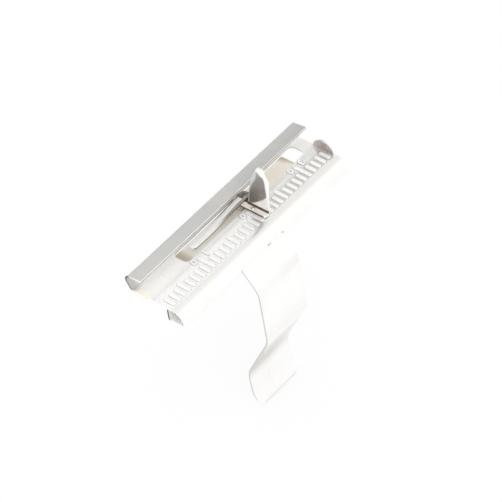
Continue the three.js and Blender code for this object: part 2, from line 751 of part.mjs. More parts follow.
// The long tail that reaches back along the slot, clamped on the foot by the slider's rivet.
function tailLeaf() {
  const half = TAIL_THICKNESS / 2;
  const root = SLIDER_RIVET_X + SLIDER_RIVET_HEAD - 0.4;
  const corners = [
    point(root, TAIL_Z0 + half),
    point(SLIDER_X0 - 0.5, TAIL_Z0 + half),
    point(SLIDER_X0 - TAIL_SLOPE, SEAT + half),
    point(TAIL_TIP_X, SEAT + half),
  ];
  const side = alongY(
    sheetEdge(bentLine(corners, [12, 30], 4), TAIL_THICKNESS),
    SLOT_LOW_Y,
    SLOT_HIGH_Y,
  );
  const low = SLOT_MID_Y - TAIL_WIDTH / 2;
  const plan = roundedRectangle(TAIL_TIP_X, root, low, low + TAIL_WIDTH, TAIL_WIDTH / 2);
  const hole = rod("z", SLIDER_RIVET_RADIUS + SEAT, -5, 9, SLIDER_RIVET_X, SLOT_MID_Y);
  return side.intersect(alongZ(plan, -1, TAIL_Z1 + 1)).subtract(hole);
}

const topDome = (radius, rise, x, y, z) => dome(radius, rise).rotate([90, 0, 0]).translate([x, y, z]);
const backDome = (radius, rise, x, y, z) => dome(radius, rise).rotate([-90, 0, 0]).translate([x, y, z]);

function sliderRivet() {
  const z0 = GUIDE_Z0 - SEAT;
  const z1 = TAIL_Z1 + SEAT;
  return joined([
    rod("z", SLIDER_RIVET_RADIUS, z0 - SUNK, z1 + SUNK, SLIDER_RIVET_X, SLOT_MID_Y),
    topDome(SLIDER_RIVET_HEAD, SLIDER_RIVET_RISE, SLIDER_RIVET_X, SLOT_MID_Y, z1),
    backDome(SLIDER_RIVET_HEAD, SLIDER_RIVET_BACK, SLIDER_RIVET_X, SLOT_MID_Y, z0),
  ]);
}

function indexRivet() {
  const [x, y] = indexRivetPlace();
  const seat = FOOT_Z1 + SEAT;
  return rod("z", INDEX_RIVET_RADIUS, FOOT_Z0, seat + SUNK, x, y).add(
    topDome(INDEX_RIVET_HEAD, INDEX_RIVET_RISE, x, y, seat),
  );
}

// ---- The brass strip under the slot ----
function brassStrip() {
  const half = BRASS / 2;
  const under = PLATE_UNDER - SEAT - half;
  const over = SEAT + half;
  const endX = X_NEAR - SEAT - half;
  const low = BRASS_TOP - half;
  const hook = [
    point(X_NEAR + BRASS_HOOK_LENGTH, over),
    point(endX, over),
    point(endX, under),
    point(X_NEAR + BRASS_SHOULDER + 1, under),
  ];
  const run = [
    point(X_NEAR + BRASS_SHOULDER, under),
    point(X_NEAR + SLOT_START - 6.5, under),
    point(X_NEAR + SLOT_START - 3, low),
    point(X_NEAR + BRASS_END, low),
  ];
  const hookStrip = alongY(
    sheetEdge(bentLine(hook, [0.4, 0.4], 30), BRASS),
    SLOT_MID_Y - BRASS_HOOK_WIDTH / 2,
    SLOT_MID_Y + BRASS_HOOK_WIDTH / 2,
  );
  const runStrip = alongY(
    sheetEdge(bentLine(run, [3, 3], 15), BRASS),
    SLOT_LOW_Y - GUIDE_OVERLAP,
    SLOT_HIGH_Y + GUIDE_OVERLAP,
  );
  const hole = rod("z", BRASS_RIVET_RADIUS + SEAT, -9, 9, X_NEAR + BRASS_RIVET_AT, SLOT_MID_Y);
  return hookStrip.add(runStrip).subtract(hole);
}

// Flush on the plate's top, with its head under the strip.
function brassRivet() {
  const x = X_NEAR + BRASS_RIVET_AT;
  const seat = PLATE_UNDER - BRASS - 2 * SEAT;
  return rod("z", BRASS_RIVET_RADIUS, seat - SUNK, 0, x, SLOT_MID_Y).add(
    backDome(BRASS_RIVET_HEAD, BRASS_RIVET_RISE, x, SLOT_MID_Y, seat),
  );
}

// ---- Assembly ----
const part = new THREE.Group();

function place(name, solid, material) {
  const mesh = new THREE.Mesh(geometryOf(solid), material);
  mesh.name = name;
  part.add(mesh);
}

const bushes = bushPlaces();
const rings = ringPlaces();

place("scale_bar", bar(), NICKEL);
place("brass_strip", brassStrip(), BRASS_METAL);
place("brass_strip_rivet", brassRivet(), PIN_STEEL);
place("hinge_pin", hingePin(), PIN_STEEL);
place("hinge_bush_near", hingeBush(bushes.near), BRASS_METAL);
place("hinge_bush_far", hingeBush(bushes.far), BRASS_METAL);
place("bush_rivet_near", bushRivet(bushes.near), PIN_STEEL);
place("bush_rivet_far", bushRivet(bushes.far), PIN_STEEL);
place("retaining_ring_near", retainingRing(rings.near), SPRING_STEEL);
place("retaining_ring_far", retainingRing(rings.far), SPRING_STEEL);
place("torsion_spring", torsionSpring(), SPRING_STEEL);
place("finger_lever", fingerLever(), NICKEL);
place("slider_tab", sliderTab(), NICKEL);
place("slider_tail_leaf", tailLeaf(), NICKEL);
place("slider_slot_block", slotBlock(), BRASS_METAL);
place("slider_guide_plate", guidePlate(), NICKEL);
place("slider_rivet", sliderRivet(), PIN_STEEL);
place("index_rivet", indexRivet(), PIN_STEEL);

export default part;
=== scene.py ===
"""Hand exerciser: a plated steel bar with a raised scale, a sliding tab and a sprung finger lever.

Lengths in this file are millimetres in the frame's own axes until a piece is drawn: X runs along
the bar, +Y is the side of the hooked lip, and the top of the bar's plate is at z = 0.
"""
import math

import bmesh
import bpy
from bpy.props import FloatProperty, FloatVectorProperty, PointerProperty
from mathutils import Matrix, Vector


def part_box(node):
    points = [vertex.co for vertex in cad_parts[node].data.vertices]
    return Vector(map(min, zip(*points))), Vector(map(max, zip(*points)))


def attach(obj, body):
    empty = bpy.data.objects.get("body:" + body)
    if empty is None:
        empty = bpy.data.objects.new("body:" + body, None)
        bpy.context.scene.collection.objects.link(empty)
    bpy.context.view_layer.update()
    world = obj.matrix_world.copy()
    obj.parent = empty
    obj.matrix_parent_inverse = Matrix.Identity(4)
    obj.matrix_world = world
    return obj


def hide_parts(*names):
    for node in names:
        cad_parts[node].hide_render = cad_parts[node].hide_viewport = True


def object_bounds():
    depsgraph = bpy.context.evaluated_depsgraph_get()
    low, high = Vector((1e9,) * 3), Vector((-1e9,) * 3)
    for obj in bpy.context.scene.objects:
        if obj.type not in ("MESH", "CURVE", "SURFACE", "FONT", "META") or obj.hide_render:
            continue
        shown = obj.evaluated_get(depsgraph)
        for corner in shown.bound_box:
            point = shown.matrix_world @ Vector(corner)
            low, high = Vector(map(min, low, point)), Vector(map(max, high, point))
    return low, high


bl_info = {
    "name": "Hand Exerciser",
    "version": (1, 0, 0),
    "blender": (4, 5, 0),
    "location": "View3D > Sidebar > Exerciser",
    "description": "Models a hand exerciser with a scale bar, a sliding tab and a finger lever",
    "category": "Add Mesh",
}

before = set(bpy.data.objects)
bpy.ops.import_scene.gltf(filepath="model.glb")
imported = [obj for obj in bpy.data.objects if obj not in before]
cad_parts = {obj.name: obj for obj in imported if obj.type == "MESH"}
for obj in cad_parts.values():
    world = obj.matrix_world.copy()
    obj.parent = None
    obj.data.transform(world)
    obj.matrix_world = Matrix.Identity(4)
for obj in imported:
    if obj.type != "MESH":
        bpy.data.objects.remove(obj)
cad_box = [list(corner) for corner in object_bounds()]

MM = 0.001
MERGE = 0.002 * MM
BUMP_DEPTH = 0.02 * MM
SHARP, BEVELLED = math.radians(40), math.radians(48)  # edges turned by more than this
AXES = {"x": Vector((1, 0, 0)), "y": Vector((0, 1, 0)), "z": Vector((0, 0, 1))}

# ---- The model's own sizes, in millimetres ----
SHEET = 0.8
GAP = 0.3  # between pieces that move on each other
SEAT = 0.1  # between pieces that are clamped together
X_NEAR, X_FAR = -54.0, 54.0
TUBE_FACE, TUBE_INNER, LIP_BACK, LIP_BEND = -15.15, -6.15, 15.15, 12.45
CREST = -8.95
TUBE_DEPTH, TUBE_ROUND, BEND = 7.2, 6.2, 0.6
LIP_HEIGHT, LIP_REACH, LIP_DROP = 8.2, 9.0, 1.0
LIP_SCORE = 7.66  # the lip's front cut edge is bright above this height and takes painted shadow below
LUG_MIDDLE, LUG_WIDE, LUG_HIGH = CREST + 0.6 + 5.5, 5.5, 5.0  # LUG_WIDE is half its width
SLOT_X, SLOT_Y, SLOT_CORNER = (-30.0, 48.0), (2.75, 10.95), 2.5
SLOT_MID = sum(SLOT_Y) / 2
PIN_Y, PIN_Z, PIN_RADIUS = -10.65, -3.8, 1.0
LEVER_X = (-17.0, 9.3)
LEVER_MID = sum(LEVER_X) / 2
LEVER_SLOPE, LEVER_SWING, LEVER_HEEL = 53, 40, 16.7  # degrees, and the first run in mm
LEVER_RUNS = ((0.9, 28.7), (-14.4, 27), (1.2, 12.9), (3.7, 5.8))  # outwards, down
LEVER_BENDS = (9, 12, 16, 8)
KNUCKLE = PIN_RADIUS + GAP + SHEET / 2
KNUCKLE_ROLL = 280  # degrees
BUSH_LENGTH, BUSH_HOLE = 5, 0.9
SPRING_WIRE, SPRING_PITCH, SPRING_TURNS, SPRING_SPLAY = 0.9, 1.4, 7, 0.35
SPRING_ROOM, SPRING_GAP = 5.8, 4.8  # half the width of its gap in the lever, and its radius
LEG_WIRE = 0.44  # radius, a little less than the coil's, whose last turn hides its start
TICK_PITCH, TICK_COUNT, FIRST_READING = 3.18, 33, 2
TICK_WIDE = 0.92  # half a tick's width
TICK_LENGTHS = {10: 9.6, 5: 7.2, 1: 5.8}  # by what the tick's reading divides by
CAP_SHARE = 0.72  # a figure's height as a share of its font's size
# flat dark pads of painted shade round each tick: how far they reach past it, and their rise
SHADE_PAD_MARGIN, SHADE_PAD_RISE = 0.16, 0.03
TENS_AT, UNITS_AT = (3.8, 0.2), (-2.9, 0.7)  # a number's digits, from its tick
# the last two: how far the flat dark pad of painted shade round each digit reaches past it, and
# its rise
DIGIT_WEIGHT, DIGIT_PAD_WIDENING, DIGIT_PAD_HEIGHT = 0.08, 0.34, 0.04
FOOT_X, FOOT_Z, FOOT_CORNER = (7.2, 10.8), (0.65, 1.45), 0.9
INDEX_AT = (FOOT_X[0] + 1.3, CREST + 8, 0)
TAB_Y, TAB_HEIGHT, TAB_BULGE = (-8.35, 3.25), 25.6, 2.4
TAB_BEND, TAB_ROW, TAB_ROWS, TAB_COLUMNS = 1.4, 0.8, 31, 34
RIVET_X, RIVET_LOBE, RIVET_HOLE, RIVET_HEAD = 12.0, 3.0, 1.3, 2.2
LOBE_CORNER = 2.6
TAIL_TIP, TAIL_WIDTH, TAIL_THICK = -22.9, 4.0, 0.5
TAIL_RAMP, TAIL_CROWN, TAIL_EDGE = 16.6, 0.22, 0.02
GUIDE_Z = (-1.7, -1.1)
BRASS, BRASS_TOP, BRASS_END = 0.5, -2.5, 42.5
BRASS_RIVET_X, BRASS_HOLES = X_NEAR + 12, (1.14, 1.2)  # the holes in the bar and the strip
BRASS_EDGE, HOOK_WIDE = 0.08, 2.2  # HOOK_WIDE is half its width


# ---- Settings ----
def length_setting(name, description, default, low, high):
    """A length, given in millimetres."""
    return FloatProperty(
        name=name,
        description=description,
        default=default * MM,
        min=low * MM,
        max=high * MM,
        unit="LENGTH",
    )


def colour_setting(name, description, default):
    return FloatVectorProperty(
        name=name,
        description=description,
        default=default,
        min=0,
        max=1,
        size=3,
        subtype="COLOR",
    )


def share_setting(name, description, default, high=1):
    return FloatProperty(
        name=name,
        description=description,
        default=default,
        min=0,
        max=high,
        subtype="FACTOR",
    )


class SheetSettings(bpy.types.PropertyGroup):
    """Sizes of the pressed sheet and its scale."""

    edge: length_setting("Edge rounding", "Radius on the cut edges of the sheet", 0.14, 0, 0.3)
    tick_rise: length_setting("Tick rise", "Height of the ticks over the plate", 0.35, 0.1, 0.35)
    numeral_height: length_setting("Number height", "Height of the numbers", 3.3, 2, 3.6)
    thumb_hollow: length_setting("Thumb hollow", "Depth of the tab's dished face", 1.3, 0, 1.6)


class FinishSettings(bpy.types.PropertyGroup):
    """Colours and polish of the metals."""

    plating: colour_setting("Plating", "Colour of the plated steel", (0.97, 0.965, 0.952))
    plating_roughness: share_setting("Plating roughness", "How matt the plating is", 0.17)
    brass: colour_setting("Brass", "Colour of the brass strip and bushes", (1.0, 0.955, 0.865))
    steel: colour_setting("Steel", "Colour of the pins, rivets and spring", (0.66, 0.64, 0.61))


class StageSettings(bpy.types.PropertyGroup):
    """Floor, lamps and camera."""

    floor: colour_setting("Floor", "Colour of the floor", (0.95, 0.95, 0.95))
    surround: share_setting("Surround", "Brightness of the white room around", 1.0, 2)
    lamp_power: FloatProperty(
        name="Lamp power",
        description="Power of the soft lamp overhead",
        default=0.65,
        min=0,
        max=50,
        unit="POWER",
    )


# ---- Working with meshes ----
def mode(name):
    bpy.ops.object.mode_set(mode=name)


def clear():
    if bpy.context.object and bpy.context.object.mode != "OBJECT":
        mode("OBJECT")
    bpy.ops.object.select_all(action="DESELECT")


def named(name):
    """Names the object that was just added."""
    bpy.context.object.name = name
    return bpy.context.object


def only(piece):
    clear()
    bpy.context.view_layer.objects.active = piece
    piece.select_set(True)


def drawn_line(name, points):
    """A single vertex, extruded from point to point. It is left in edit mode."""
    points = [Vector(point) * MM for point in points]
    clear()
    bpy.ops.mesh.primitive_plane_add(size=MM)
    line = named(name)
    mode("EDIT")
    bpy.ops.mesh.select_mode(type="VERT")
    bpy.ops.mesh.merge(type="CENTER")
    bpy.ops.transform.translate(value=points[0])
    for before, after in zip(points, points[1:]):
        bpy.ops.mesh.extrude_vertices_move(TRANSFORM_OT_translate={"value": after - before})
    return line


def extrude(step):
    bpy.ops.mesh.extrude_region_move(TRANSFORM_OT_translate={"value": Vector(step) * MM})


def select(action="SELECT"):
    bpy.ops.mesh.select_all(action=action)


def closed_up():
    """Merges doubles, turns the faces outwards and leaves edit mode."""
    select()
    bpy.ops.mesh.remove_doubles(threshold=MERGE)
    bpy.ops.mesh.normals_make_consistent(inside=False)
    mode("OBJECT")


def press(piece, kind, **settings):
    """Puts a modifier on a piece and applies it."""
    only(piece)
    modifier = piece.modifiers.new(kind.title(), kind)
    for name, value in settings.items():
        setattr(modifier, name, value)
    bpy.ops.object.modifier_apply(modifier=modifier.name)


def thicken(piece, thickness):
    """Gives a sheet its thickness, half to each side."""
    mode("OBJECT")
    press(piece, "SOLIDIFY", thickness=thickness * MM, offset=0, use_even_offset=True)
    mode("EDIT")
    closed_up()
    return piece


def folded(name, points, step, thickness):
    """A sheet: a line of points, drawn out along a step and made thick."""
    sheet = drawn_line(name, points)
    select()
    extrude(step)
    return thicken(sheet, thickness)


def combine(piece, others, operation):
    for other in others:
        press(piece, "BOOLEAN", operation=operation, solver="EXACT", object=other)
        bpy.data.objects.remove(other, do_unlink=True)


def cut(piece, *cutters):
    combine(piece, cutters, "DIFFERENCE")


def weld(piece, *others):
    combine(piece, others, "UNION")


def joined(name, pieces):
    clear()
    for piece in pieces:
        piece.select_set(True)
    bpy.context.view_layer.objects.active = pieces[0]
    bpy.ops.object.join()
    return named(name)


def copied(piece, name, step):
    """A copy with its own mesh, moved in its mesh."""
    only(piece)
    bpy.ops.object.duplicate(linked=False)
    twin = named(name)
    mode("EDIT")
    select()
    bpy.ops.transform.translate(value=Vector(step) * MM)
    mode("OBJECT")
    return twin


def pick(piece, kind, test):
    """Selects the edges, faces or vertices that pass a test."""
    bpy.ops.mesh.select_mode(type=kind)
    select("DESELECT")
    mesh = bmesh.from_edit_mesh(piece.data)
    for item in {"EDGE": mesh.edges, "FACE": mesh.faces, "VERT": mesh.verts}[kind]:
        item.select_set(test(item))
    mesh.select_flush_mode()
    bmesh.update_edit_mesh(piece.data)


def block(name, low, high, corner=0.0, segments=10):
    """A block between two corners, with its upright edges rounded."""
    low, high = Vector(low) * MM, Vector(high) * MM
    clear()
    bpy.ops.mesh.primitive_cube_add(size=1)
    piece = named(name)
    mode("EDIT")
    bpy.ops.transform.resize(value=high - low, center_override=(0, 0, 0))
    bpy.ops.transform.translate(value=(low + high) / 2)
    if corner:

        def upright(edge):
            run = edge.verts[1].co - edge.verts[0].co
            return abs(run.normalized().z) > 0.99

        pick(piece, "EDGE", upright)
        bpy.ops.mesh.bevel(offset=corner * MM, segments=segments, affect="EDGES")
    mode("OBJECT")
    return piece


def outlined(name, points, step):
    """A flat outline, filled and extruded."""
    piece = drawn_line(name, points)
    select()
    bpy.ops.mesh.edge_face_add()
    extrude(step)
    closed_up()
    return piece


def turned(name, profile, centre, axis, steps=40):
    """A round piece: a profile of (radius, height), spun about an axis through a centre."""
    centre, along = Vector(centre), AXES[axis]
    side = AXES[{"x": "y", "y": "z", "z": "x"}[axis]]
    piece = drawn_line(name, [centre + side * r + along * h for r, h in profile])
    select()
    bpy.ops.mesh.spin(steps=steps, angle=math.tau, center=centre * MM, axis=along)
    closed_up()
    return piece


def rod(name, radius, low, high, axis, chamfer=0.0):
    """A turned rod between two points on an axis."""
    length = (Vector(high) - Vector(low)).length
    profile = [(0, 0), (radius - chamfer, 0), (radius, chamfer)]
    profile += [(radius, length - chamfer), (radius - chamfer, length), (0, length)]
    return turned(name, profile if chamfer else [profile[k] for k in (0, 1, 4, 5)], low, axis)


def upright_hole(radius, x, low, high):
    """A cutter for a hole through sheets that lie flat, on the slot's middle line."""
    return rod("Hole", radius, (x, SLOT_MID, low), (x, SLOT_MID, high), "z")


def arc(radius, start, end, steps):
    """Points on an arc, from one angle to another in degrees."""
    angles = [math.radians(start + (end - start) * k / steps) for k in range(steps + 1)]
    return [(radius * math.cos(a), radius * math.sin(a)) for a in angles]


def bent(corners, radii, step):
    """A line through corners, each turned with its own radius."""
    corners = [Vector(corner) for corner in corners]
    line = [corners[0]]
    for before, here, after, radius in zip(corners, corners[1:], corners[2:], radii):
        into, out = (here - before).normalized(), (after - here).normalized()
        turn = math.atan2(into.cross(out), into.dot(out))
        start = here - into * radius * math.tan(abs(turn) / 2)
        side = math.copysign(radius, turn)
        centre = start + Vector((-into.y, into.x)) * side
        count = max(2, math.ceil(math.degrees(abs(turn)) / step))
        for k in range(count + 1):
            point = centre + Matrix.Rotation(turn * k / count, 2) @ (start - centre)
            if (point - line[-1]).length > 0.01:
                line.append(point)
    return line + [corners[-1]]


def smoothed(piece, edge=0.0):
    """Rounds the cut edges and shades the piece smooth."""
    if edge:
        kept = {"limit_method": "ANGLE", "angle_limit": BEVELLED, "use_clamp_overlap": True}
        press(piece, "BEVEL", width=edge, segments=2, **kept)
    only(piece)
    bpy.ops.object.shade_smooth_by_angle(angle=SHARP)
    press(piece, "WEIGHTED_NORMAL", keep_sharp=True, weight=80)
    return piece


def fit(piece, finish, slot, body, *nodes):
    """Gives a finished piece its metal and its body, and hides the CAD nodes it stands for."""
    if not piece.data.polygons:
        raise RuntimeError(f"{piece.name} has no faces")
    piece.data.materials.clear()
    piece.data.materials.append(finish)
    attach(piece, body)
    if nodes:
        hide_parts(*nodes)


def repaint(piece, finish, test):
    """Gives another metal to the faces whose middle, in millimetres, and normal pass a test."""
    only(piece)
    bpy.ops.object.material_slot_add()
    piece.material_slots[-1].material = finish
    mode("EDIT")
    pick(piece, "FACE", lambda face: test(face.calc_center_median() / MM, face.normal))
    bpy.ops.object.material_slot_assign()
    mode("OBJECT")


# ---- Materials ----
class Reading:
    """A value inside a material. Sums on it add Math nodes."""

    def __init__(self, finish, socket):
        self.finish = finish
        self.socket = socket

    def __add__(self, other):
        return self.finish.sum("ADD", self, other)

    def __sub__(self, other):
        return self.finish.sum("SUBTRACT", self, other)

    def __rsub__(self, other):
        return self.finish.sum("SUBTRACT", other, self)

    def __mul__(self, other):
        return self.finish.sum("MULTIPLY", self, other)

    def __pow__(self, other):
        return self.finish.sum("POWER", self, other)

    __radd__ = __add__
    __rmul__ = __mul__


class Finish:
    """A material that is put together from nodes."""

    def __init__(self, name, tree=None):
        self.material = None
        if tree is None:
            self.material = bpy.data.materials.new(name)
            self.material.use_nodes = True
            tree = self.material.node_tree
        self.tree = tree

    def node(self, kind, settings=None, inputs=None, output=0):
        node = self.tree.nodes.new(kind)
        for name, value in (settings or {}).items():
            setattr(node, name, value)
        for name, value in (inputs or {}).items():
            self.feed(node.inputs[name], value)
        return Reading(self, node.outputs[output])

    def feed(self, socket, value):
        if isinstance(value, Reading):
            self.tree.links.new(value.socket, socket)
        else:
            socket.default_value = value

    def sum(self, operation, a, b):
        return self.node("ShaderNodeMath", {"operation": operation}, {0: a, 1: b})

    def shade(self, values):
        shader = self.tree.nodes["Principled BSDF"]
        for name, value in values.items():
            self.feed(shader.inputs[name], value)
        return self.material

    def spot(self):
        """Object coordinates."""
        return self.node("ShaderNodeTexCoord", output="Object")

    def spot_in_mm(self):
        """The three object coordinates, in millimetres."""
        spot = self.spot()
        return [
            self.node("ShaderNodeSeparateXYZ", inputs={"Vector": spot}, output=axis) * 1000
            for axis in "XYZ"
        ]

    def grain(self, scale, detail, stretch=(1, 1, 1)):
        """Noise from 0 to 1, with scale in features to the metre."""
        place = self.node("ShaderNodeMapping", inputs={"Vector": self.spot(), "Scale": stretch})
        inputs = {"Vector": place, "Scale": scale, "Detail": detail}
        return self.node("ShaderNodeTexNoise", inputs=inputs)

    def ramp(self, value, low, high):
        """0 below low, 1 above high."""
        return self.node(
            "ShaderNodeMapRange",
            {"interpolation_type": "SMOOTHSTEP", "clamp": True},
            {"Value": value, "From Min": low, "From Max": high},
        )

    def fall(self, value, low, high):
        """1 below low, 0 above high."""
        return 1 - self.ramp(value, low, high)

    def band(self, value, low, full, ending, high):
        """0 below low, 1 from full to ending, and 0 again above high."""
        return self.ramp(value, low, full) * self.fall(value, ending, high)

    def blend(self, share, first, second):
        first, second = (c if isinstance(c, Reading) else (*c, 1) for c in (first, second))
        values = {"Factor": share, 6: first, 7: second}
        return self.node("ShaderNodeMix", {"data_type": "RGBA"}, values, output=2)

    def bump(self, height, strength):
        inputs = {"Height": height, "Strength": strength, "Distance": BUMP_DEPTH}
        return self.node("ShaderNodeBump", inputs=inputs)

    def surface(self, shader):
        """Puts another shader than the material's own on the surface."""
        self.feed(self.tree.nodes["Material Output"].inputs["Surface"], shader)


def toned(colour, share):
    return tuple(min(1.0, channel * share) for channel in colour)


def plated_sheet(
    name, colour, roughness, stretch, metal=0.62, folds=None, painted_shade=None, shade_share=(0.5, 0.485, 0.46)
):
    """Bright plating: a faint rolling grain, a few hazy patches and fine handling marks.
    It is matt inside the folds, where no polishing wheel reaches. Where a mask of painted shade is
    given, each channel of its colour drops towards its share in the last argument."""
    finish = Finish(name)
    haze = finish.ramp(finish.grain(90, 3), 0.4, 0.72)
    rolling = finish.grain(1, 3, stretch)
    marks = finish.ramp(finish.grain(1, 5, tuple(2.6 * s for s in stretch)), 0.62, 0.7)
    warm = (colour[0] * 0.98, colour[1] * 0.972, colour[2] * 0.958)
    tint = finish.blend(haze * 0.8, colour, warm)
    polish = roughness + haze * 0.05 + rolling * 0.05 + marks * 0.03
    if folds:
        inside = folds(finish)
        polish = polish + inside * 0.25
        metal = metal - inside * (metal - 0.1)
    # painted shade: the mask darkens the colour towards the shaded colour
    if painted_shade:
        shaded_colour = tuple(channel * share for channel, share in zip(colour, shade_share))
        tint = finish.blend(painted_shade(finish), tint, shaded_colour)
    normal = finish.bump(rolling + marks * 0.2, 0.04)
    return finish.shade(
        {"Base Color": tint, "Metallic": metal, "Roughness": polish, "Normal": normal}
    )


def between_ticks(finish):
    """Painted shade on the plate between the ticks, and a painted reflection that greys the plate,
    both deeper over the far half; a band of painted shade along the tube's crest; and painted
    shade in the mouth of the lip at the near end."""
    x, y, z = finish.spot_in_mm()
    # painted shade between the ticks, and a painted reflection that greys the plate up to the
    # slot, both deeper over the far half
    row = finish.band(y, CREST + 0.1, CREST + 0.7, CREST + 5, CREST + 9)
    ends = finish.band(x, X_NEAR + 1.5, X_NEAR + 3, X_FAR - 5, X_FAR - 1)
    far_half = finish.ramp(x, 2.0, 20.0)
    plate = finish.band(y, CREST, CREST + 2, SLOT_MID, SLOT_Y[1] + 2)
    share = row * ends * (far_half * 0.38 + 0.07) + plate * far_half * 0.16
    # painted shade in a band along the tube's crest
    crest = finish.band(y, CREST - 3.4, CREST - 2, CREST - 0.4, CREST + 0.3)
    top = (share + crest * 0.12) * finish.ramp(z, -1.2, -0.6)
    # painted shade in the mouth of the lip at the near end
    mouth = finish.fall(x, X_NEAR + 1, X_NEAR + 7) * finish.ramp(y, 9.0, LIP_BEND)
    return finish.sum("MAXIMUM", top, mouth * bar_folds(finish) * 0.85)


def finger_wear(finish):
    """Painted shade on the lever: a band along its slanted run, lighter towards its far edge,
    faint bands at its two bends, and a little along its toe.
    """
    x, _, z = finish.spot_in_mm()
    run = finish.band(z, -77.0, -68.0, -57.0, -46.0)
    knee = finish.band(z, -50.0, -44.0, -43.0, -34.0)
    elbow = finish.band(z, -20.0, -17.0, -15.5, -13.0)
    far = finish.ramp(x, -5.0, 9.0)
    toe = finish.fall(z, -90.4, -88.8)
    return run * (0.66 - far * 0.34) + knee * 0.08 + elbow * (far * 0.08 + 0.05) + toe * 0.3


def tail_wear(finish):
    """Painted shadow on the tail's root under the slider, broken into streaks and deeper towards
    its edges.
    """
    x, y, _ = finish.spot_in_mm()
    streaks = finish.grain(1, 2, (30, 1100, 300))
    side = finish.ramp(finish.sum("ABSOLUTE", y - SLOT_MID, 0.0), 0.6, 1.7)
    root = finish.ramp(x, -11.0, 5.0)
    return root * finish.ramp(streaks + side * 0.3, 0.56, 0.72) * 1.4


def thumb_shade(finish):
    """Painted shade on the tab's dished face inside its rims, down to where its root turns to the
    light: lighter by its far rim, towards the top and at the tip, and deepest low down.
    """
    _, y, z = finish.spot_in_mm()
    ridge = TAB_Y[0] - finish.ramp(z, 1, 9) * 1.25 + finish.ramp(z, 20, 26) * 1.6
    rim = TAB_Y[1] - z * 0.22 - finish.ramp(z, 10, 21) * 2.5
    inside = finish.ramp(y - ridge, 0.0, 0.5) * (finish.ramp(rim - y, -0.4, 0.8) * 0.64 + 0.36)
    low = TAB_Y[1] - y
    shore = z - low * 0.4 - low * low * 0.035
    tip = finish.fall(z + (TAB_Y[0] - y) * 0.2, 22.0, 23.4)
    deep = finish.fall(z, 6, 14) * finish.ramp(y, -7.0, 0.0)
    share = 0.86 + deep * 0.14 - finish.ramp(z, 12, 21) * 0.07
    return inside * tip * finish.ramp(shore, 0.9, 1.9) * share


def bar_folds(finish):
    """1 inside the tube and the hooked lip, and 0 on the bar's outer skin."""
    _, y, z = finish.spot_in_mm()
    round_y = finish.sum("MINIMUM", y - (TUBE_FACE + TUBE_ROUND), 0.0)
    round_z = finish.sum("MAXIMUM", z + TUBE_ROUND, 0.0)
    reach = (round_y * round_y + round_z * round_z) ** 0.5
    skin = TUBE_ROUND - SHEET / 2
    tube = finish.fall(reach, skin - 0.1, skin + 0.1)
    tube = tube * finish.fall(y, TUBE_INNER - 0.5, TUBE_INNER - 0.3)
    tube = tube * finish.ramp(z, 0.3 - TUBE_DEPTH, 0.5 - TUBE_DEPTH)
    wall = finish.sum("MINIMUM", z * 0.556 + LIP_BEND + 0.22, LIP_BACK - SHEET / 2)
    lip = finish.ramp(y, 0.0, 5.0) * finish.ramp(wall - y, -0.1, 0.1)
    roof = LIP_HEIGHT - SHEET / 2 - (y - (LIP_BACK - LIP_REACH)) * 0.116
    lip = lip * finish.ramp(roof - z, -0.1, 0.1) * finish.ramp(z, -0.5, -0.3)
    return finish.sum("MAXIMUM", tube, lip)


def brass_sheet(name, colour):
    """Rolled brass, a little tarnished, with a painted brown shadow at the far cut, painted shade
    where the slot starts and a paler painted reflection under the slider's run."""
    finish = Finish(name)
    tarnish = finish.ramp(finish.grain(110, 4), 0.42, 0.75)
    rolling = finish.grain(1, 3, (60, 2600, 2600))
    stain = (colour[0] * 0.95, colour[1] * 0.9, colour[2] * 0.8)
    tint = finish.blend(tarnish * 0.5, colour, stain)
    x, y, _ = finish.spot_in_mm()
    # painted shadow, brown, at the strip's far cut
    painted_end_shadow = finish.ramp(x + y * 0.35, BRASS_END - 0.5, BRASS_END + 3) * 0.6
    tint = finish.blend(painted_end_shadow, tint, (0.36, 0.23, 0.13))
    # painted shade where the slot starts
    near = finish.band(x, -34.0, -32.0, -27.0, -22.0)
    tint = finish.blend(near * 0.85, tint, (0.5, 0.465, 0.36))
    # painted reflection, paler, under the slider's run
    painted_reflection = finish.band(x, -25.0, -20.0, -6.0, 2.0)
    tint = finish.blend(painted_reflection * 0.75, tint, (1.0, 0.985, 0.95))
    return finish.shade(
        {
            "Base Color": tint,
            "Metallic": 0.12,
            "Roughness": 0.26 + tarnish * 0.12 + rolling * 0.08,
            "Normal": finish.bump(rolling, 0.06),
        }
    )


def turned_steel(name, colour, roughness):
    """Turned or drawn steel with a fine grain and darker specks."""
    finish = Finish(name)
    speck = finish.ramp(finish.grain(900, 3), 0.5, 0.75)
    grain = finish.grain(5200, 2)
    tint = finish.blend(speck * 0.6, colour, toned(colour, 0.72))
    return finish.shade(
        {
            "Base Color": tint,
            "Metallic": 1.0,
            "Roughness": roughness + speck * 0.12 + grain * 0.06,
            "Normal": finish.bump(grain, 0.06),
        }
    )


finishes = {}


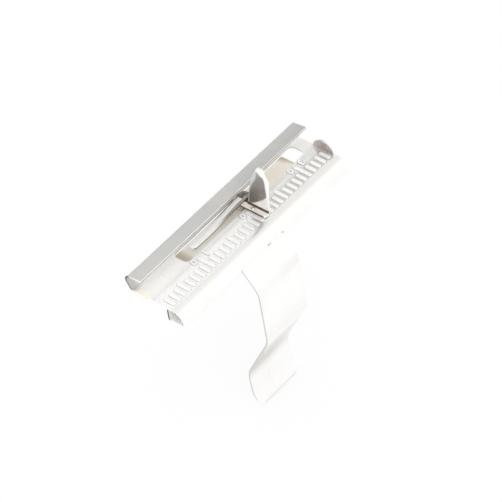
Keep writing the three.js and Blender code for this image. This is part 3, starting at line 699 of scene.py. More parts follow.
def make_finishes(settings):
    plating, rough = tuple(settings.plating), settings.plating_roughness
    steel, brass = tuple(settings.steel), tuple(settings.brass)
    along, upright, fine = (40, 1900, 1900), (900, 1900, 50), (2500, 2500, 2500)
    plated = {
        "bar": ("Bright plating on the bar", plating, rough, along, 0.62),
        # the scale takes a lighter copy of the plating as a painted highlight
        "ticks": ("Plating on the scale", toned(plating, 1.05), 0.3, (1900, 60, 900), 0.3),
        # dark copies of the plating on the flat pads round the ticks and the numbers: painted
        # shade
        "outline": ("Painted shade round the ticks", toned(plating, 0.47), 0.35, along, 0.5),
        "figures": ("Painted shade round the numbers", toned(plating, 0.3), 0.35, fine, 0.4),
        "lever": ("Plating on the lever", plating, rough, (1900, 900, 40), 0.62),
        "tab": ("Plating on the tab", plating, rough, upright, 0.5),
        # the tail takes a lighter copy of the plating as a painted highlight
        "tail": ("Plating on the tail", toned(plating, 1.04), 0.2, along, 0.12),
        # a darker copy of the plating, as painted shade on cut edges
        "edge": ("Cut edge, painted shade", toned(plating, 0.66), 0.3, fine, 0.6),
        # a dark copy laid as painted shadow along cut ends, bends and under the lip's edge
        "shadow_paint": ("Painted shadow", (0.13, 0.105, 0.085), 0.3, fine, 0.6),
        # a lighter copy of the plating for the tab's front, with painted shade laid over its dish
        "thumb": ("Thumb face, painted shade", toned(plating, 1.04), 0.22, upright, 0.35),
        # a cream copy of the plating on the foot's top: painted reflection
        "foot_reflection": ("Foot plating, painted reflection", (1.0, 0.925, 0.855), 0.28, fine, 0.3),
        # a darker copy of the plating on the stop's face: painted shade
        "lug": ("Stop face, painted shade", (0.6, 0.535, 0.505), 0.24, upright, 0.62),
    }
    extras = {
        # each mask in this table lays painted shade, or painted reflection, on its metal
        "bar": {"folds": bar_folds, "painted_shade": between_ticks},
        "lever": {"painted_shade": finger_wear},
        "tail": {"painted_shade": tail_wear, "shade_share": (0.4, 0.365, 0.33)},
        "thumb": {"painted_shade": thumb_shade, "shade_share": (0.15, 0.13, 0.113)},
    }
    for key, (name, colour, roughness, stretch, metal) in plated.items():
        extra = extras.get(key, {})
        finishes[key] = plated_sheet(name, colour, roughness, stretch, metal, **extra)
    finishes["brass"] = brass_sheet("Rolled brass", brass)
    finishes["bush"] = brass_sheet("Cast brass bush", toned(brass, 0.85))
    finishes["rivet"] = turned_steel("Rivet steel", toned(steel, 1.2), 0.22)
    # a dark copy of the rivet steel for the slider's rivet: painted shade
    finishes["dark"] = turned_steel("Painted-shade rivet steel", toned(steel, 0.42), 0.24)
    finishes["spring"] = turned_steel("Spring steel", steel, 0.26)


# ---- The bar ----
def bar_line():
    half = SHEET / 2
    top = LIP_HEIGHT - half
    shoulder = top - LIP_DROP
    corners = [
        (LIP_BACK - LIP_REACH, top),
        (LIP_BACK - half, shoulder),
        (LIP_BACK - half, shoulder * 0.55),
        (LIP_BEND, -half),
        (TUBE_FACE + half, -half),
        (TUBE_FACE + half, half - TUBE_DEPTH),
        (TUBE_INNER - half, half - TUBE_DEPTH),
        (TUBE_INNER - half, -SHEET - GAP),
    ]
    return bent(corners, [2.2, 1.6, BEND, TUBE_ROUND - half, BEND, BEND], 5)


def bush_spans():
    near, far = LEVER_X[0] - 4 * GAP, LEVER_X[1] + 4 * GAP
    return (near - BUSH_LENGTH, near), (far, far + BUSH_LENGTH)


def lever_window():
    """The opening that the lever hangs through, with a notch for the spring's leg."""
    rest, squeezed = (math.radians(LEVER_SLOPE + a) for a in (0, LEVER_SWING))
    face, back = KNUCKLE + SHEET / 2, KNUCKLE - SHEET / 2
    reach = PIN_Y - TUBE_FACE - SHEET
    top = PIN_Z - (reach * math.sin(rest) - face) / math.cos(rest) + GAP
    floor = TUBE_DEPTH + PIN_Z
    inner = PIN_Y - (back + floor * math.cos(squeezed)) / math.sin(squeezed) + GAP
    face, low, side = TUBE_FACE - 1, -TUBE_DEPTH - 1, 2 * GAP
    wide = block("Window", (LEVER_X[0] - side, face, low), (LEVER_X[1] + side, inner, top))
    end = LEVER_MID + SPRING_ROOM, inner + SPRING_WIRE + 2 * GAP, top - 1
    return wide, block("Window notch", (LEVER_MID - SPRING_ROOM, face, low - 1), end)


class EXERCISER_OT_bar(bpy.types.Operator):
    """Fold the bar from one sheet, with its slot and the stop at its far end"""

    bl_idname = "exerciser.bar"
    bl_label = "Bar"

    def execute(self, context):
        edge = context.scene.exerciser_sheet.edge
        line = [(X_NEAR, y, z) for y, z in bar_line()]
        bar = folded("scale_bar_sheet", line, (X_FAR - X_NEAR, 0, 0), SHEET)
        low, high = (SLOT_X[0], SLOT_Y[0], -2), (SLOT_X[1], SLOT_Y[1], 1)
        slot = block("Slot", low, high, corner=SLOT_CORNER)
        holes = [slot, *lever_window()]
        for span in bush_spans():
            middle = sum(span) / 2
            low, high = (middle, TUBE_INNER - 2, PIN_Z), (middle, TUBE_INNER + 1, PIN_Z)
            holes.append(rod("Rivet hole", BUSH_HOLE, low, high, "y"))
        holes.append(upright_hole(BRASS_HOLES[0], BRASS_RIVET_X, -2, 1))
        cut(bar, *holes)
        lug = self.stop_lug()
        smoothed(joined("scale_bar_sheet", [bar, lug]), edge)
        self.score_lip_edge(bar)
        fit(bar, finishes["bar"], "plated_sheet", "bar", "scale_bar")
        # painted shadow on the near cut ends and the lower part of the lip's front edge
        repaint(bar, finishes["shadow_paint"], self.on_dark_end)
        # painted shade on the slot's cut walls
        repaint(bar, finishes["edge"], self.on_slot_wall)
        # painted shade on the face of the stop at the far end
        lug_face = X_FAR - SHEET - 0.51
        repaint(bar, finishes["lug"], lambda spot, normal: normal.x < -0.9 and spot.x > lug_face)
        return {"FINISHED"}

    @staticmethod
    def score_lip_edge(bar):
        """Splits the lip's front cut edge along its length, so that its lower part can take
        painted shadow.
        """
        only(bar)
        mode("EDIT")
        front = LIP_BACK - LIP_REACH + 0.3
        high = LIP_HEIGHT - SHEET - 0.2

        def on_edge(face):
            _, y, z = face.calc_center_median() / MM
            return face.normal.y < -0.9 and front - 1 < y < front and z > high

        pick(bar, "FACE", on_edge)
        bpy.ops.mesh.bisect(plane_co=(0, 0, LIP_SCORE * MM), plane_no=(0, 0, 1))
        mode("OBJECT")

    @staticmethod
    def on_dark_end(spot, normal):
        """True where painted shadow goes: on the near cut edge of the lip's wall and the tube's
        inner wall, and along the lower part of the lip's front cut edge."""
        x, y, z = spot
        wall = y > LIP_BEND or TUBE_INNER - 1.2 < y < TUBE_INNER and z < -1
        front = normal.y < -0.9 and 5 < y < 7 and 6 < z < LIP_SCORE
        return front or normal.x < -0.9 and x < X_NEAR + 0.01 and wall

    @staticmethod
    def on_slot_wall(spot, normal):
        """True on the cut edge all round the slot, which takes painted shade."""
        x, y, z = spot
        along = SLOT_X[0] - 0.1 < x < SLOT_X[1] + 0.1
        across = SLOT_Y[0] - 0.1 < y < SLOT_Y[1] + 0.1
        return along and across and -SHEET < z < 0 and abs(normal.z) < 0.5

    @staticmethod
    def stop_lug():
        """The half-round tongue turned up at the far end."""
        base = -SHEET / 2
        rim = [(LUG_MIDDLE + LUG_WIDE * c, LUG_HIGH * s) for c, s in arc(1, 0, 180, 36)]
        outline = [(LUG_MIDDLE + LUG_WIDE, base), *rim, (LUG_MIDDLE - LUG_WIDE, base)]
        return outlined("Stop lug", [(X_FAR - SHEET, y, z) for y, z in outline], (SHEET, 0, 0))


def tick_length(reading):
    return next(length for step, length in TICK_LENGTHS.items() if reading % step == 0)


class EXERCISER_OT_scale(bpy.types.Operator):
    """Raise the ticks and the numbers 10, 20 and 30 on the plate, each on a flat dark pad of
    painted shade
    """

    bl_idname = "exerciser.scale"
    bl_label = "Scale"

    def execute(self, context):
        settings = context.scene.exerciser_sheet
        rise = settings.tick_rise / MM
        ticks, tick_pads = [], []
        masters = {}
        for index in range(TICK_COUNT):
            length = tick_length(index + FIRST_READING)
            if length not in masters:
                # the tick's flat dark pad of painted shade
                outline = self.tick(length, SHADE_PAD_RISE, SHADE_PAD_MARGIN)
                masters[length] = self.tick(length, rise, 0), outline
            step = (X_NEAR + TICK_PITCH * (index + 1), 0, 0)
            ticks.append(copied(masters[length][0], "Tick", step))
            tick_pads.append(copied(masters[length][1], "Tick shade pad", step))
        for pair in masters.values():
            for master in pair:
                bpy.data.objects.remove(master, do_unlink=True)
        digits, digit_pads = [], []
        for reading in (10, 20, 30):
            x = X_NEAR + TICK_PITCH * (reading - FIRST_READING + 1)
            for text, (along, across) in zip(str(reading), (TENS_AT, UNITS_AT)):
                at = x + along, across
                digits.append(self.digit(text, at, settings, rise, DIGIT_WEIGHT))
                # the same digit, widened and low, as its flat dark pad of painted shade
                ring = self.digit(text, at, settings, DIGIT_PAD_HEIGHT, DIGIT_PAD_WIDENING)
                digit_pads.append(ring)
        pieces = (
            ("scale_ticks", ticks, "ticks"),
            ("scale_numbers", digits, "ticks"),
            ("scale_tick_shade_pads", tick_pads, "outline"),
            ("scale_number_shade_pads", digit_pads, "figures"),
        )
        for name, parts, metal in pieces:
            piece = smoothed(joined(name, parts))
            fit(piece, finishes[metal], "plated_sheet", "bar", "scale_bar")
        return {"FINISHED"}

    @staticmethod
    def tick(length, rise, margin):
        """One tick at x = 0, with a rounded top and rounded ends, or the wider, low pad of painted
        shade round it.
        """
        wide = TICK_WIDE + margin
        low = (-wide, CREST + 0.6 - margin, -0.2)
        high = (wide, CREST + 0.65 + length + margin, rise)
        tick = block("Tick", low, high, corner=wide - 0.03, segments=6)
        only(tick)
        mode("EDIT")
        top = (rise - 0.01) * MM
        pick(tick, "EDGE", lambda edge: all(v.co.z > top for v in edge.verts))
        round_over = min(0.24, rise * 0.8) * MM
        bpy.ops.mesh.bevel(offset=round_over, segments=3, affect="EDGES", clamp_overlap=True)
        mode("OBJECT")
        return tick

    @staticmethod
    def digit(text, at, settings, rise, weight):
        """One raised digit that reads towards -X, with its top towards the tube."""
        clear()
        bpy.ops.object.text_add()
        digit = named(f"Digit {text}")
        lettering = digit.data
        lettering.body = text
        lettering.align_x = "CENTER"
        lettering.align_y = "CENTER"
        lettering.size = settings.numeral_height / CAP_SHARE
        lettering.offset = weight * MM
        lettering.extrude = 0.2 * MM
        lettering.bevel_depth = min(0.1, rise / 2) * MM
        lettering.bevel_resolution = 2
        lettering.resolution_u = 6
        bpy.ops.object.convert(target="MESH")
        mode("EDIT")
        select()
        bpy.ops.mesh.remove_doubles(threshold=MERGE)
        mesh = bmesh.from_edit_mesh(digit.data)
        low = Vector([min(v.co[k] for v in mesh.verts) for k in range(3)])
        high = Vector([max(v.co[k] for v in mesh.verts) for k in range(3)])
        centre = (low + high) / 2
        bpy.ops.transform.rotate(value=math.pi, orient_axis="Z", center_override=centre)
        step = Vector((*at, 0)) * MM - centre
        step.z = rise * MM - high.z
        bpy.ops.transform.translate(value=step)
        mode("OBJECT")
        return digit


# ---- The finger lever ----
def lever_line():
    slope, rolled = math.radians(LEVER_SLOPE), math.radians(KNUCKLE_ROLL)
    away = Vector((math.cos(slope), math.sin(slope)))
    heel = Vector((KNUCKLE * away.y, -KNUCKLE * away.x))
    steps = 30
    angles = [math.pi / 2 - slope + rolled * (1 - k / steps) for k in range(steps)]
    roll = [Vector((KNUCKLE * math.cos(a), -KNUCKLE * math.sin(a))) for a in angles]
    corners = [heel, heel + away * LEVER_HEEL]
    for run in LEVER_RUNS:
        corners.append(corners[-1] + Vector(run))
    line = roll + bent(corners, LEVER_BENDS, 4)
    return [(PIN_Y - p.x, PIN_Z - p.y) for p in line]


class EXERCISER_OT_lever(bpy.types.Operator):
    """Roll and bend the finger lever, and round its toe"""

    bl_idname = "exerciser.lever"
    bl_label = "Finger lever"

    def execute(self, context):
        line = [(LEVER_X[0], y, z) for y, z in lever_line()]
        lever = folded("finger_lever_sheet", line, (LEVER_X[1] - LEVER_X[0], 0, 0), SHEET)
        low, high = ((LEVER_MID + side * SPRING_ROOM, PIN_Y, PIN_Z) for side in (-1, 1))
        cut(lever, rod("Spring gap", SPRING_GAP, low, high, "x"), *self.toe_corners())
        smoothed(lever, context.scene.exerciser_sheet.edge)
        fit(lever, finishes["lever"], "lever_sheet", "lever", "finger_lever")
        floor = self.floor()

        # painted shade on the lever's cut edges and along its toe
        def on_cut_edge(spot, normal):
            toe = spot.z < floor + 5 and normal.z < 0.2 and abs(normal.x) > 0.2
            return abs(normal.x) > 0.8 or toe

        repaint(lever, finishes["edge"], on_cut_edge)
        return {"FINISHED"}

    @staticmethod
    def floor():
        """The height that the toe ends at."""
        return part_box("finger_lever")[0].z / MM

    def toe_corners(self):
        """Two cutters that leave the toe's corners round."""
        floor = self.floor()
        run, drop = 5.5, 4.6
        cutters = []
        for side, edge in ((-1, LEVER_X[0]), (1, LEVER_X[1])):
            curve = [
                (edge - side * run * (1 - math.sin(a)), floor + drop * (1 - math.cos(a)))
                for a in [math.radians(90 * k / 12) for k in range(13)]
            ]
            outline = [*curve, (edge + side, floor + drop), (edge + side, floor - 1)]
            outline.append((edge - side * run, floor - 1))
            points = [(x, PIN_Y - 12, z) for x, z in outline]
            cutters.append(outlined("Toe corner", points, (0, 16, 0)))
        return cutters


# ---- The slider ----
def tab_outline():
    """The tab's outline seen along the bar, as (y, z), from its foot round its tip."""
    rise = TAB_HEIGHT
    bulge = TAB_Y[0] - TAB_BULGE
    corners = [
        (TAB_Y[0], FOOT_Z[0]),
        (bulge + 1.2, rise * 0.35),
        (bulge, rise * 0.8),
        (bulge + 3, rise + 1.17),
        (bulge + 6.4, rise - 1),
        (TAB_Y[1] - 3.6, rise * 0.63),
        (TAB_Y[1], FOOT_Z[0]),
    ]
    return bent(corners, [20, 4, 2.2, 3, 12], 6)


def eased(value, low, high):
    """0 below low, 1 above high and smooth between them."""
    share = max(0.0, min(1.0, (value - low) / (high - low)))
    return share * share * (3 - 2 * share)


class EXERCISER_OT_tab(bpy.types.Operator):
    """Draw the slider's upright tab from its foot, row by row, dished for the thumb"""

    bl_idname = "exerciser.tab"
    bl_label = "Slider tab"

    def execute(self, context):
        settings = context.scene.exerciser_sheet
        hollow = settings.thumb_hollow / MM
        back, base = FOOT_X[1] - SHEET / 2, (FOOT_Z[0] + FOOT_Z[1]) / 2
        low, high = TAB_Y[0] - TAB_BULGE - 0.6, TAB_Y[1] + 0.6
        across = [low + (high - low) * k / TAB_COLUMNS for k in range(TAB_COLUMNS + 1)]
        path = [(back - 2.2, base)]
        centre = back - TAB_BEND, base + TAB_BEND
        path += [(centre[0] + x, centre[1] + z) for x, z in arc(TAB_BEND, -90, 0, 7)]
        path += [(back, centre[1] + TAB_ROW * k) for k in range(1, TAB_ROWS + 1)]
        tab = drawn_line("slider_tab_sheet", [(path[0][0], y, base) for y in across])
        for x, z in path[1:]:
            select("DESELECT")
            mesh = bmesh.from_edit_mesh(tab.data)
            mesh.verts.ensure_lookup_table()
            for vertex in mesh.verts[-len(across) :]:
                vertex.select_set(True)
            mesh.select_flush_mode()
            extrude((0, 0, 0.1))
            mesh = bmesh.from_edit_mesh(tab.data)
            row = sorted((v for v in mesh.verts if v.select), key=lambda v: v.co.y)
            for vertex, y in zip(row, across):
                vertex.co = Vector((x - self.lean(y, z, hollow), y, z)) * MM
            bmesh.update_edit_mesh(tab.data)
        thicken(tab, SHEET)
        outline = [(back - 8, p.x, p.y) for p in tab_outline()]
        combine(tab, [outlined("Tab outline", outline, (12, 0, 0))], "INTERSECT")
        low, high = (FOOT_X[0], TAB_Y[0], FOOT_Z[0]), (FOOT_X[1] - 0.9, SLOT_MID, FOOT_Z[1])
        foot = block("Foot", low, high, corner=FOOT_CORNER)
        low, high = (
            (RIVET_X + side * RIVET_LOBE, SLOT_MID + side * RIVET_LOBE, z)
            for side, z in zip((-1, 1), FOOT_Z)
        )
        weld(tab, foot, block("Lobe", low, high, corner=LOBE_CORNER))
        cut(tab, upright_hole(RIVET_HOLE, RIVET_X, 0, 3))
        smoothed(tab)
        fit(tab, finishes["tab"], "plated_sheet", "slider", "slider_tab")
        repaint(tab, finishes["thumb"], self.on_front)
        repaint(tab, finishes["shadow_paint"], self.on_shadow_line)
        # painted reflection on the foot's top
        repaint(tab, finishes["foot_reflection"], self.on_foot)
        return {"FINISHED"}

    @staticmethod
    def on_front(spot, normal):
        """True on the upright's front, above its bend, which takes painted shade."""
        return normal.x < -0.45 and spot.z > FOOT_Z[1] + 1.3

    @staticmethod
    def on_shadow_line(spot, normal):
        """True where painted shadow goes: on the tight bend at the tab's root, the foot's near
        edge and the lobe.
        """
        x, y, z = spot
        bend = x > FOOT_X[1] - 2.4 and FOOT_Z[1] < z < FOOT_Z[1] + 1.3 and y < TAB_Y[1]
        near = x < FOOT_X[0] + 0.02 and normal.x < -0.9
        lobe = y > TAB_Y[1] and z < FOOT_Z[1] + 0.1
        return near or lobe or bend and normal.x < -0.2 and normal.z > -0.2

    @staticmethod
    def on_foot(spot, normal):
        x, y, z = spot
        return normal.z > 0.9 and z < FOOT_Z[1] + 0.1 and y < TAB_Y[1] and x < FOOT_X[1]

    @staticmethod
    def lean(y, z, hollow):
        """How far the sheet stands forward at a place: a ridge with a flange turned back
        beyond it, a hollow for the thumb, and a far edge that comes forward again."""
        ridge = TAB_Y[0] - 1.25 * eased(z, 1, 9) + 1.6 * eased(z, 20, 26)
        top = TAB_HEIGHT - 1.9 - 0.28 * abs(y + 6.5)
        past = max(0.0, ridge - y, (z - top) * 0.8)
        flange = 0.62 * (math.hypot(past, 0.25) - 0.25)
        middle = max(0.0, (y - ridge) / (TAB_Y[1] - ridge))
        dish = 0.5 + 0.5 * math.cos(math.pi * min(1.0, middle * 2.1))
        far_rim = 0.6 * max(0.0, middle - 0.5) ** 1.5
        share = eased(z, 2, 10)
        return share * (hollow * dish + far_rim) - eased(z, 1, 8) * flange


class EXERCISER_OT_tail(bpy.types.Operator):
    """Draw the slider's long tail, crowned along its middle and rounded at its tip"""

    bl_idname = "exerciser.tail"
    bl_label = "Slider tail"

    def execute(self, context):
        half = TAIL_THICK / 2
        high = FOOT_Z[1] + SEAT + half
        root = RIVET_X + 1.8
        path = bent(
            [
                (root, high),
                (FOOT_X[0] - 0.5, high),
                (FOOT_X[0] - TAIL_RAMP, SEAT + half),
                (TAIL_TIP + TAIL_WIDTH / 2, SEAT + half),
            ],
            [12, 30],
            1,
        )
        columns = 10
        wide = TAIL_WIDTH / 2
        across = [wide * (2 * k / columns - 1) for k in range(columns + 1)]
        crown = [TAIL_CROWN * (1 - abs(y / wide)) for y in across]
        line = [(path[0].x, SLOT_MID + y, path[0].y + c) for y, c in zip(across, crown)]
        tail = drawn_line("slider_tail_sheet", line)
        select()
        for before, after in zip(path, path[1:]):
            extrude((after.x - before.x, 0, after.y - before.y))
        spot = Vector((path[-1].x, SLOT_MID, path[-1].y))
        turns = [math.radians(90 * k / 10) for k in range(1, 10)]
        share = 1.0
        for angle, last in zip(turns, [0.0, *turns]):
            step = -wide * (math.sin(angle) - math.sin(last))
            extrude((step, 0, 0))
            spot.x += step
            width = math.cos(angle)
            bpy.ops.transform.resize(value=(1, width / share, 1), center_override=spot * MM)
            share = width
        thicken(tail, TAIL_THICK)
        cut(tail, upright_hole(RIVET_HOLE, RIVET_X, 0, 4))
        smoothed(tail, TAIL_EDGE * MM)
        fit(tail, finishes["tail"], "plated_sheet", "slider", "slider_tail_leaf")
        # painted shadow on the tail's cut edges and round its tip
        repaint(tail, finishes["shadow_paint"], lambda _, normal: abs(normal.z) < 0.3)
        return {"FINISHED"}


# ---- The brass strip ----
class EXERCISER_OT_brass(bpy.types.Operator):
    """Bend the brass strip under the slot, with its hook over the near end"""

    bl_idname = "exerciser.brass"
    bl_label = "Brass strip"

    def execute(self, context):
        half = BRASS / 2
        under, over = -SHEET - SEAT - half, SEAT + half
        end = X_NEAR - SEAT - half
        hook = bent(
            [(X_NEAR + 2.6, over), (end, over), (end, under), (X_NEAR + 8, under)],
            [0.4, 0.4],
            15,
        )
        low = BRASS_TOP - half
        run = bent(
            [(X_NEAR + 7, under), (X_NEAR + 17.5, under), (X_NEAR + 21, low), (BRASS_END, low)],
            [3, 3],
            5,
        )
        strip = self.strip("brass_strip_sheet", run, SLOT_Y[0] - 0.8, SLOT_Y[1] + 0.8)
        tongue = self.strip("Hook", hook, SLOT_MID - HOOK_WIDE, SLOT_MID + HOOK_WIDE)
        weld(strip, tongue)
        cut(strip, upright_hole(BRASS_HOLES[1], BRASS_RIVET_X, -3, 1))
        smoothed(strip, BRASS_EDGE * MM)
        fit(strip, finishes["brass"], "brass", "bar", "brass_strip")
        return {"FINISHED"}

    @staticmethod
    def strip(name, line, low, high):
        return folded(name, [(p.x, low, p.y) for p in line], (0, high - low, 0), BRASS)


# ---- Rivets, pin and spring ----
def dome(radius, rise, seat):
    """Profile of a low dome on a seat, from its rim to its middle. It hangs where its rise is
    below 0."""
    steps = 8
    sphere = (radius * radius + rise * rise) / (2 * rise)
    rim = math.asin(radius / sphere)
    angles = [rim * (1 - k / steps) for k in range(steps + 1)]
    top = seat + rise - sphere
    return [(sphere * math.sin(a), top + sphere * math.cos(a)) for a in angles]


class EXERCISER_OT_rivets(bpy.types.Operator):
    """Turn the rivets with their domed heads"""

    bl_idname = "exerciser.rivets"
    bl_label = "Rivets"

    def execute(self, context):
        low, high = GUIDE_Z[0] - SEAT, FOOT_Z[1] + 2 * SEAT + TAIL_THICK
        back = reversed(dome(RIVET_HEAD, -0.4, low))
        profile = [*back, (1.2, low), (1.2, high), *dome(RIVET_HEAD, 0.8, high)]
        # the slider's rivet takes the dark copy of the rivet steel as painted shade
        self.rivet("slider_rivet", profile, (RIVET_X, SLOT_MID, 0), "slider", "dark")

        seat = FOOT_Z[1] + SEAT
        profile = [(0, FOOT_Z[0]), (0.5, FOOT_Z[0]), (0.5, seat), *dome(0.9, 0.5, seat)]
        self.rivet("index_rivet", profile, INDEX_AT, "slider", "rivet", steps=28)

        seat = -SHEET - BRASS - 2 * SEAT
        back = reversed(dome(1.9, -0.6, seat))
        profile = [*back, (1.1, seat), (1.1, -0.06), (1.0, 0), (0.35, 0), (0, -0.08)]
        self.rivet("brass_strip_rivet", profile, (BRASS_RIVET_X, SLOT_MID, 0), "bar", "tail")

        for name, span in zip(("near", "far"), bush_spans()):
            seat = TUBE_INNER + SEAT - PIN_Y
            start = PIN_RADIUS + 2 * SEAT
            shank = [(0, start), (0.7, start), (0.8, start + 0.1), (0.8, seat)]
            profile = shank + dome(1.5, 0.5, seat)
            at = (sum(span) / 2, PIN_Y, PIN_Z)
            self.rivet(f"bush_rivet_{name}", profile, at, "bar", "rivet", "y", 32)
        return {"FINISHED"}

    @staticmethod
    def rivet(node, profile, centre, body, metal, axis="z", steps=40):
        rivet = turned(f"{node}_turned", profile, centre, axis, steps)
        fit(smoothed(rivet), finishes[metal], "rivet_steel", body, node)


def spring_path():
    """Two runs of wire: the leg under the plate with the coil, and the coil's end with the
    leg along the lever. The lever's leg starts inside the coil, so it stays joined to it."""
    wire, splay = SPRING_WIRE, SPRING_SPLAY
    radius = PIN_RADIUS + GAP + wire / 2
    slope = math.radians(LEVER_SLOPE)
    turns = SPRING_TURNS + LEVER_SLOPE / 360
    length = turns * SPRING_PITCH
    start = LEVER_MID - length / 2
    under, top = -SHEET - GAP - wire / 2, PIN_Z + radius
    coil = []
    for inwards, share in ((3.2, 1), (2.2, 0.85), (1, 0.25)):
        coil.append((start - splay * share, PIN_Y + inwards, top + (under - top) * share))
    steps = round(turns * 20)
    for k in range(steps + 1):
        angle = math.pi / 2 + turns * math.tau * k / steps
        y, z = PIN_Y + radius * math.cos(angle), PIN_Z + radius * math.sin(angle)
        coil.append((start + length * k / steps, y, z))
    leg = coil[-4:]
    away = Vector((math.cos(slope), math.sin(slope)))
    inward = Vector((-away.y, away.x))
    behind = SHEET / 2 + wire / 2 + GAP + radius - KNUCKLE
    for run, share in ((1.2, 0.15), (2.6, 0.65), (4, 1), (10.5, 1)):
        at = inward * -radius + away * run + inward * behind * share
        leg.append((start + length + splay * share, PIN_Y - at.x, PIN_Z - at.y))
    return coil, leg


class EXERCISER_OT_hinge(bpy.types.Operator):
    """Turn the hinge pin and wind the torsion spring on it"""

    bl_idname = "exerciser.hinge"
    bl_label = "Hinge pin and spring"

    def execute(self, context):
        low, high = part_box("hinge_pin")
        ends = [(corner.x / MM, PIN_Y, PIN_Z) for corner in (low, high)]
        pin = rod("hinge_pin_turned", PIN_RADIUS, *ends, "x", chamfer=0.2)
        fit(smoothed(pin), finishes["rivet"], "rivet_steel", "bar", "hinge_pin")

        coil, leg = spring_path()
        spring = self.wire("torsion_spring_coil", coil, SPRING_WIRE / 2)
        fit(spring, finishes["spring"], "spring_steel", "bar", "torsion_spring")
        spring = self.wire("torsion_spring_leg", leg, LEG_WIRE)
        fit(spring, finishes["spring"], "spring_steel", "lever")
        return {"FINISHED"}

    @staticmethod
    def wire(name, path, radius):
        """Round wire along a path."""
        drawn_line(name, path)
        mode("OBJECT")
        bpy.ops.object.convert(target="CURVE")
        curve = bpy.context.object.data
        curve.bevel_depth = radius * MM
        curve.bevel_resolution = 3
        curve.use_fill_caps = True
        bpy.ops.object.convert(target="MESH")
        piece = bpy.context.object
        mode("EDIT")
        closed_up()
        return smoothed(piece)


class EXERCISER_OT_inner(bpy.types.Operator):
    """Give the small inner solids their metals"""

    bl_idname = "exerciser.inner"
    bl_label = "Inner pieces"

    def execute(self, context):
        metals = {
            "hinge_bush_near": "bush",
            "hinge_bush_far": "bush",
            "slider_slot_block": "bush",
            "slider_guide_plate": "tail",
            "retaining_ring_near": "spring",
            "retaining_ring_far": "spring",
        }
        for name, metal in metals.items():
            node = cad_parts[name]
            for slot in node.material_slots:
                slot.material = finishes[metal]
        return {"FINISHED"}


# ---- Floor, lamps and camera ----
CAMERA_ANGLES = (-44.615, 44.674, -8.9075)  # turn, rise and roll, in degrees
CAMERA_PLACE = (0.00505, -0.01186, 1.24137)  # to its right, up and back, in metres
CAMERA_LENS = 215.3


def aimed(obj, place, target):
    """Turns a lamp, card or camera so that its -Z looks at a target."""
    obj.location = place
    obj.rotation_euler = (Vector(target) - Vector(place)).to_track_quat("-Z", "Y").to_euler()


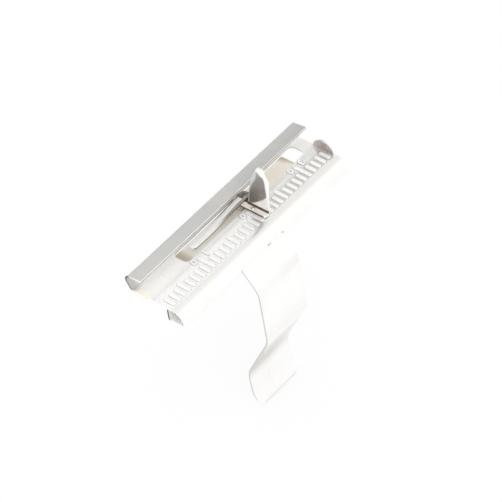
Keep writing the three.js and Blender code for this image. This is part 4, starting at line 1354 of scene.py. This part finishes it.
class EXERCISER_OT_stage(bpy.types.Operator):
    """Lay the floor, hang the lamps and place the camera at the photograph's angle"""

    bl_idname = "exerciser.stage"
    bl_label = "Stage"

    def execute(self, context):
        settings = context.scene.exerciser_stage
        self.floor(settings)
        self.world(settings)
        self.lamps(settings)
        self.camera(context)
        view = context.scene.view_settings
        view.view_transform = "Standard"
        return {"FINISHED"}

    @staticmethod
    def seen(finish):
        """1 for a ray from the camera or off a shiny surface, and 0 for other light."""
        rays = [
            finish.node("ShaderNodeLightPath", output=kind)
            for kind in ("Is Camera Ray", "Is Glossy Ray", "Is Transmission Ray")
        ]
        return finish.node("ShaderNodeClamp", inputs={"Value": rays[0] + rays[1] + rays[2]})

    def floor(self, settings):
        clear()
        low = min(corner[2] for corner in cad_box)
        bpy.ops.mesh.primitive_plane_add(size=6, location=(0, 0, low - 0.3 * MM))
        floor = named("Floor")
        finish = Finish("Pale floor")
        shader = finish.tree.nodes["Principled BSDF"]
        finish.shade({"Base Color": (*settings.floor, 1), "Roughness": 0.9})
        glow = finish.node("ShaderNodeEmission", inputs={"Color": (1, 1, 1, 1), "Strength": 1.0})
        mixed = finish.node(
            "ShaderNodeMixShader",
            inputs={0: self.seen(finish) * 0.8, 1: Reading(finish, shader.outputs[0]), 2: glow},
        )
        finish.surface(mixed)
        floor.data.materials.append(finish.material)

    def world(self, settings):
        world = bpy.data.worlds.new("White room")
        bpy.context.scene.world = world
        world.use_nodes = True
        finish = Finish("White room", world.node_tree)
        camera = finish.node("ShaderNodeLightPath", output="Is Camera Ray")
        strength = camera * (1 - settings.surround) + settings.surround
        background = world.node_tree.nodes["Background"]
        finish.feed(background.inputs["Color"], (1, 1, 1, 1))
        finish.feed(background.inputs["Strength"], strength)

    def lamps(self, settings):
        lamps = (
            ("Overhead lamp", (-0.2, -0.3, 0.85), 0.7, settings.lamp_power),
            ("Front lamp", (-0.55, -0.75, 0.4), 0.6, settings.lamp_power * 1.6),
        )
        for name, place, size, power in lamps:
            clear()
            bpy.ops.object.light_add(type="AREA")
            lamp = named(name)
            lamp.data.shape = "SQUARE"
            lamp.data.size = size
            lamp.data.energy = power
            aimed(lamp, place, (0, 0, 0))
        cards = (
            ("Dark card behind", (-0.5, 0.506, 0.703), 0.9, (0.75, 0.42), (0.05, 0.045, 0.04)),
            ("Grey card low", (0.5, 0.64, 0.42), 1.0, (1.6, 0.42), (0.215, 0.215, 0.2)),
            ("Grey card high", (0.62, 0.08, 0.78), 0.6, (0.5, 0.3), (0.82, 0.81, 0.78)),
        )
        for name, direction, distance, (width, height), colour in cards:
            clear()
            bpy.ops.mesh.primitive_plane_add(size=1)
            card = named(name)
            aimed(card, Vector(direction).normalized() * distance, (0, 0, 0))
            card.scale = (width, height, 1)
            finish = Finish(f"{name} board")
            finish.shade({"Base Color": (0, 0, 0, 1), "Roughness": 1.0})
            glow = finish.node("ShaderNodeEmission", inputs={"Color": (*colour, 1)})
            finish.surface(glow)
            card.data.materials.append(finish.material)
            card.visible_camera = False
            card.visible_diffuse = False
            card.visible_shadow = False

    def camera(self, context):
        """Fitted to the photograph: a turn round the object, a rise over it and a roll."""
        turn, rise, roll = (math.radians(a) for a in CAMERA_ANGLES)
        clear()
        bpy.ops.object.camera_add()
        camera = named("Camera")
        level = Matrix.Rotation(turn, 4, "Z") @ Matrix.Rotation(math.pi / 2 - rise, 4, "X")
        turned_to = level @ Matrix.Rotation(roll, 4, "Z")
        camera.matrix_world = turned_to @ Matrix.Translation(CAMERA_PLACE)
        camera.data.sensor_width = 36
        camera.data.lens = CAMERA_LENS
        camera.data.clip_start = 0.05
        camera.data.clip_end = 20
        context.scene.camera = camera


class EXERCISER_PT_pieces(bpy.types.Panel):
    """The exerciser's pieces and settings"""

    bl_label = "Hand Exerciser"
    bl_idname = "EXERCISER_PT_pieces"
    bl_space_type = "VIEW_3D"
    bl_region_type = "UI"
    bl_category = "Exerciser"

    def draw(self, context):
        for group in ("exerciser_sheet", "exerciser_finish", "exerciser_stage"):
            box = self.layout.box()
            settings = getattr(context.scene, group)
            for name in settings.__annotations__:
                box.prop(settings, name)
        for piece in OPERATORS:
            self.layout.operator(piece.bl_idname)


class EXERCISER_OT_metals(bpy.types.Operator):
    """Mix the plating, brass and steel"""

    bl_idname = "exerciser.metals"
    bl_label = "Metals"

    def execute(self, context):
        make_finishes(context.scene.exerciser_finish)
        return {"FINISHED"}


SETTINGS = (SheetSettings, FinishSettings, StageSettings)
OPERATORS = (
    EXERCISER_OT_metals,
    EXERCISER_OT_bar,
    EXERCISER_OT_scale,
    EXERCISER_OT_lever,
    EXERCISER_OT_tab,
    EXERCISER_OT_tail,
    EXERCISER_OT_brass,
    EXERCISER_OT_rivets,
    EXERCISER_OT_hinge,
    EXERCISER_OT_inner,
    EXERCISER_OT_stage,
)
CLASSES = (*SETTINGS, *OPERATORS, EXERCISER_PT_pieces)


def register():
    for item in CLASSES:
        bpy.utils.register_class(item)
    bpy.types.Scene.exerciser_sheet = PointerProperty(type=SheetSettings)
    bpy.types.Scene.exerciser_finish = PointerProperty(type=FinishSettings)
    bpy.types.Scene.exerciser_stage = PointerProperty(type=StageSettings)


def unregister():
    del bpy.types.Scene.exerciser_stage
    del bpy.types.Scene.exerciser_finish
    del bpy.types.Scene.exerciser_sheet
    for item in reversed(CLASSES):
        bpy.utils.unregister_class(item)


def main():
    register()
    for piece in OPERATORS:
        group, name = piece.bl_idname.split(".")
        getattr(getattr(bpy.ops, group), name)()
    clear()


if __name__ == "__main__":
    main()
